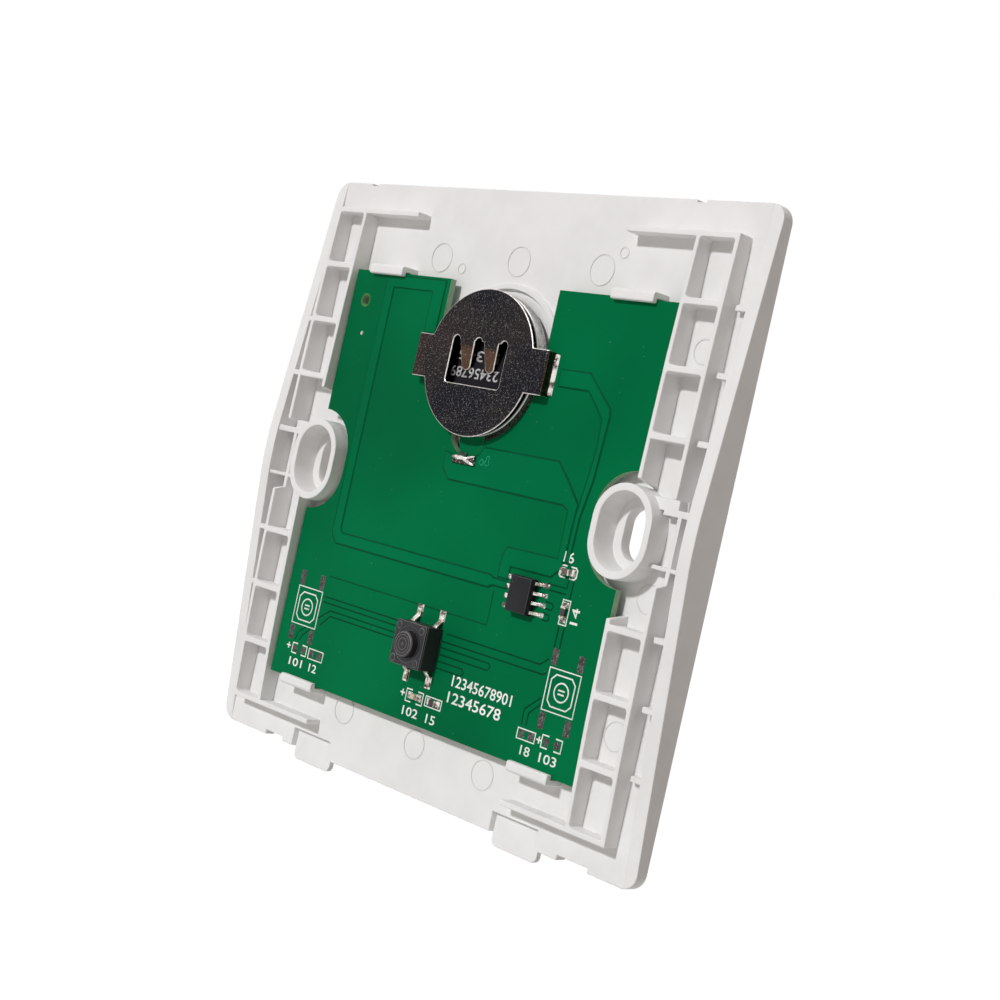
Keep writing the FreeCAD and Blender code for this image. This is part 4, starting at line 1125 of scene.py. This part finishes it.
@dataclass
class CellHolder(Assembly):
    """The coin cell, its stamped retainer, the contact strip and their solder."""

    dressings: tuple[Dressing, ...] = (
        Dressing("coin_cell", "cell_steel", (Finish.CELL,), rounding=0.08),
        Dressing("cell_retainer", "contact_steel", (Finish.SHEET, Finish.SHEET_EDGE_HIGHLIGHT),
                 rounding=0.11),
        Dressing("cell_contact", "contact_steel", (Finish.STRIP_SHADE,), rounding=0.05),
        # The contact's solder is painted dark as painted shade around the drops.
        Dressing("contact_solder", "solder", (Finish.SOLDER_SHADE,), rounding=0.05),
        Dressing("retainer_solder", "solder", (Finish.SOLDER,), segments=3, rounding=0.12))
    cell_front: float = 4.65
    drop_height: float = 4.3
    drops: tuple[tuple[float, float, float, float, float], ...] = (
        (-0.85, 4.5, 2.0, 3.3, 0.8), (0.75, 4.2, -16.0, 2.9, 0.6), (1.15, 4.75, 16.0, 2.0, 0.42))
    etched: tuple[tuple[str, Place, Place], ...] = (
        ("123456789", (-5.9, 15.3), (4.3, 16.8)), ("12345", (-4.9, 17.7), (2.9, 19.2)))
    etched_turn: float = 180.0

    def build(self) -> None:
        """Builds the holder's pieces."""
        super().build()
        self._bead()
        for index, (body, low, high) in enumerate(self.etched):
            label = Label(f"cell_number_{index}", "cell_steel", (Finish.ETCH,))
            self.bench.digits(label, body, low, high, self.cell_front, self.etched_turn)

    def _bead(self) -> None:
        """Drawn-out drops of solder on the contact's joint, with pointed ends."""
        drops = bmesh.new()
        lay = Matrix.Rotation(math.pi / 2, 4, "Y")
        for x, z, turn, length, width in self.drops:
            middle = Matrix.Translation(at(x, z, self.drop_height))
            shape = Matrix.Diagonal((length / 2 * MM, width / 2 * MM, width / 2 * MM, 1.0))
            lean = Matrix.Rotation(math.radians(-turn), 4, "Y")
            bmesh.ops.create_uvsphere(drops, u_segments=24, v_segments=12, radius=1.0,
                                      matrix=middle @ lean @ shape @ lay)
        for face in drops.faces:
            face.smooth = True
        self.bench.close(Label("contact_drops", "solder", (Finish.SOLDER,)), drops)


@dataclass
class PushSwitch(Assembly):
    """The push switch: body, cover, plunger, dome and leads."""

    dressings: tuple[Dressing, ...] = (
        Dressing("switch_housing", "switch_plastic", (Finish.SWITCH_BLACK, Finish.SWITCH_EDGE_HIGHLIGHT),
                 rounding=0.08),
        Dressing("switch_cover", "switch_plastic", (Finish.SWITCH_BLACK, Finish.SWITCH_EDGE_HIGHLIGHT),
                 rounding=0.06),
        Dressing("switch_plunger", "switch_plastic", (Finish.PLUNGER_BLACK, Finish.SWITCH_EDGE_HIGHLIGHT),
                 "plunger", rounding=0.06),
        Dressing("switch_leads", "tinned_metal", (Finish.TIN,), rounding=0.05),
        Dressing("switch_solder", "solder", (Finish.SOLDER,), segments=3, rounding=0.06))
    plunger_front: float = 8.0
    # Thin rings painted lighter on the plunger's top are painted highlights; the smallest is a bright
    # dot in the middle.
    highlight_ring_radii: Triple = (0.12, 0.75, 1.2)
    highlight_ring_width: float = 0.07
    highlight_ring_rise: float = 0.01

    def build(self) -> None:
        """Builds the switch's pieces."""
        super().build()
        # Painted highlight rings on the plunger's top, in the lighter edge finish.
        turned = [Ring(SWITCH_PLACE, radius, self.highlight_ring_width, self.highlight_ring_rise + DEEP_SUNK)
                  for radius in self.highlight_ring_radii]
        label = Label("plunger_rings", "switch_plastic", (Finish.SWITCH_EDGE_HIGHLIGHT,), "plunger")
        self.bench.trim(label, turned, self.plunger_front - DEEP_SUNK)
        self.bench.dress("switch_dome", Finish.ETCH)


@dataclass
class SmallParts(Assembly):
    """The chip and the small two-ended parts."""

    dressings: tuple[Dressing, ...] = (
        Dressing("chip_body", "chip_plastic", (Finish.CHIP_BLACK, Finish.CHIP_EDGE_HIGHLIGHT), rounding=0.07),
        Dressing("chip_leads", "tinned_metal", (Finish.TIN,), rounding=0.03),
        Dressing("chip_solder", "solder", (Finish.SOLDER,), segments=3, rounding=0.05),
        Dressing("capacitor_body", "capacitor_ceramic", (Finish.CAPACITOR,), rounding=0.04),
        Dressing("resistor_bodies", "resistor_ceramic", (Finish.RESISTOR,), rounding=0.04),
        Dressing("led_base", "led_ceramic", (Finish.CARRIER,), rounding=0.03),
        Dressing("led_lens", "led_resin", (Finish.RESIN,), rounding=0.06),
        Dressing("capacitor_ends", "tinned_metal", (Finish.TIN,), rounding=0.05),
        Dressing("resistor_ends", "tinned_metal", (Finish.TIN,), rounding=0.05),
        Dressing("led_ends", "tinned_metal", (Finish.TIN,), rounding=0.05),
        Dressing("small_part_solder", "solder", (Finish.SOLDER,), segments=3, rounding=0.1))


@dataclass(frozen=True)
class Lamp:
    """A sun lamp: where it shines from, its strength, and its width in radians."""

    name: str
    toward: Triple
    strength: float
    width: float


@dataclass
class Studio:
    """Camera at the photograph's place, plain floor, soft lamps and a white surround."""

    camera_place: Triple = (163.79, -162.81, 2.88)
    right: Triple = (0.6954, 0.6852, 0.2165)
    up: Triple = (-0.1632, -0.1428, 0.9762)
    forward: Triple = (-0.6998, 0.7142, -0.0126)
    lens: float = 60.38
    sensor: float = 36.0
    clip: Limits = (0.01, 20.0)
    lamps: tuple[Lamp, ...] = (
        Lamp("key", (-0.06, -0.875, 0.485), 1.95, 0.09), Lamp("top", (-0.1, -0.12, 1.0), 0.6, 0.6),
        Lamp("back", (0.0, 1.0, 0.0), 1.5, 0.1))
    daylight: Color = (0.97, 0.985, 1.0)
    ambient: Color = (0.200, 0.165, 0.143)
    white: Color = (1.0, 1.0, 1.0)
    floor_paint: Color = (0.8, 0.8, 0.79)
    floor_glow: float = 1.12
    floor_share: float = 0.88
    floor_size: float = 4000.0
    floor_gap: float = 0.5

    def build(self, lowest: float) -> None:
        """Sets up the studio.

        Args:
            lowest: height in metres of the part's lowest point, where the floor lies.
        """
        self._camera()
        self._surround()
        self._floor(lowest)
        for lamp in self.lamps:
            self._lamp(lamp)
        bpy.context.scene.view_settings.view_transform = "Standard"

    def _camera(self) -> None:
        """Camera that sees the part as the photograph does."""
        data = bpy.data.cameras.new("photo_camera")
        data.sensor_fit = "HORIZONTAL"
        data.sensor_width = self.sensor
        data.lens = self.lens
        data.clip_start, data.clip_end = self.clip
        camera = bpy.data.objects.new("photo_camera", data)
        turn = Matrix((self.right, self.up, -Vector(self.forward))).transposed().to_4x4()
        turn.translation = Vector(self.camera_place) * MM
        camera.matrix_world = turn
        bpy.context.scene.collection.objects.link(camera)
        bpy.context.scene.camera = camera

    def _surround(self) -> None:
        """World: white to the camera and to mirrors, a warm half light to everything else."""
        world = bpy.data.worlds.new("surround")
        graph = Graph(world)
        light = graph.node("ShaderNodeBackground", inputs={"Color": self.ambient})
        white = graph.node("ShaderNodeBackground", inputs={"Color": self.white})
        both = graph.node("ShaderNodeMixShader", inputs={0: graph.white_rays(), 1: light, 2: white})
        graph.end(both, "ShaderNodeOutputWorld")
        bpy.context.scene.world = world

    def _floor(self, lowest: float) -> None:
        """Plain pale floor under the part, which keeps the part's shadow.

        Args:
            lowest: height in metres of the part's lowest point.
        """
        shape = bmesh.new()
        level = Matrix.Translation((0.0, 0.0, lowest - self.floor_gap * MM))
        bmesh.ops.create_grid(shape, x_segments=1, y_segments=1, size=self.floor_size * MM,
                              matrix=level)
        mesh = bpy.data.meshes.new("floor")
        shape.to_mesh(mesh)
        shape.free()
        material = bpy.data.materials.new("floor_white")
        graph = Graph(material)
        paint = graph.node("ShaderNodeBsdfDiffuse", inputs={"Color": self.floor_paint})
        glow = graph.node("ShaderNodeEmission",
                          inputs={"Color": self.white, "Strength": self.floor_glow})
        share = graph.white_rays() * self.floor_share
        graph.end(graph.node("ShaderNodeMixShader", inputs={0: share, 1: paint, 2: glow}))
        mesh.materials.append(material)
        floor = bpy.data.objects.new("floor", mesh)
        bpy.context.scene.collection.objects.link(floor)
        floor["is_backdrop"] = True

    def _lamp(self, lamp: Lamp) -> None:
        """Adds a lamp.

        Args:
            lamp: its direction, strength and width.
        """
        data = bpy.data.lights.new(lamp.name, "SUN")
        data.color = self.daylight
        data.energy = lamp.strength
        data.angle = lamp.width
        made = bpy.data.objects.new(lamp.name, data)
        toward = Vector(lamp.toward).normalized()
        made.rotation_euler = toward.to_track_quat("Z", "Y").to_euler()
        bpy.context.scene.collection.objects.link(made)


def as_lists(box: Any) -> list[list[float]]:
    """Two corners as plain lists of numbers."""
    return [[float(value) for value in corner] for corner in box]


def main() -> None:
    """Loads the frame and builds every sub-assembly."""
    logging.basicConfig(level=logging.INFO)
    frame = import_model()
    packed = as_lists(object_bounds())
    bench = Workbench(nodes=frame["nodes"])
    for assembly in (BasePlate(bench), RadioBoard(bench), CellHolder(bench), PushSwitch(bench),
                     SmallParts(bench)):
        assembly.build()
    Studio().build(lowest=packed[0][2])


if __name__ == "__main__":
    main()
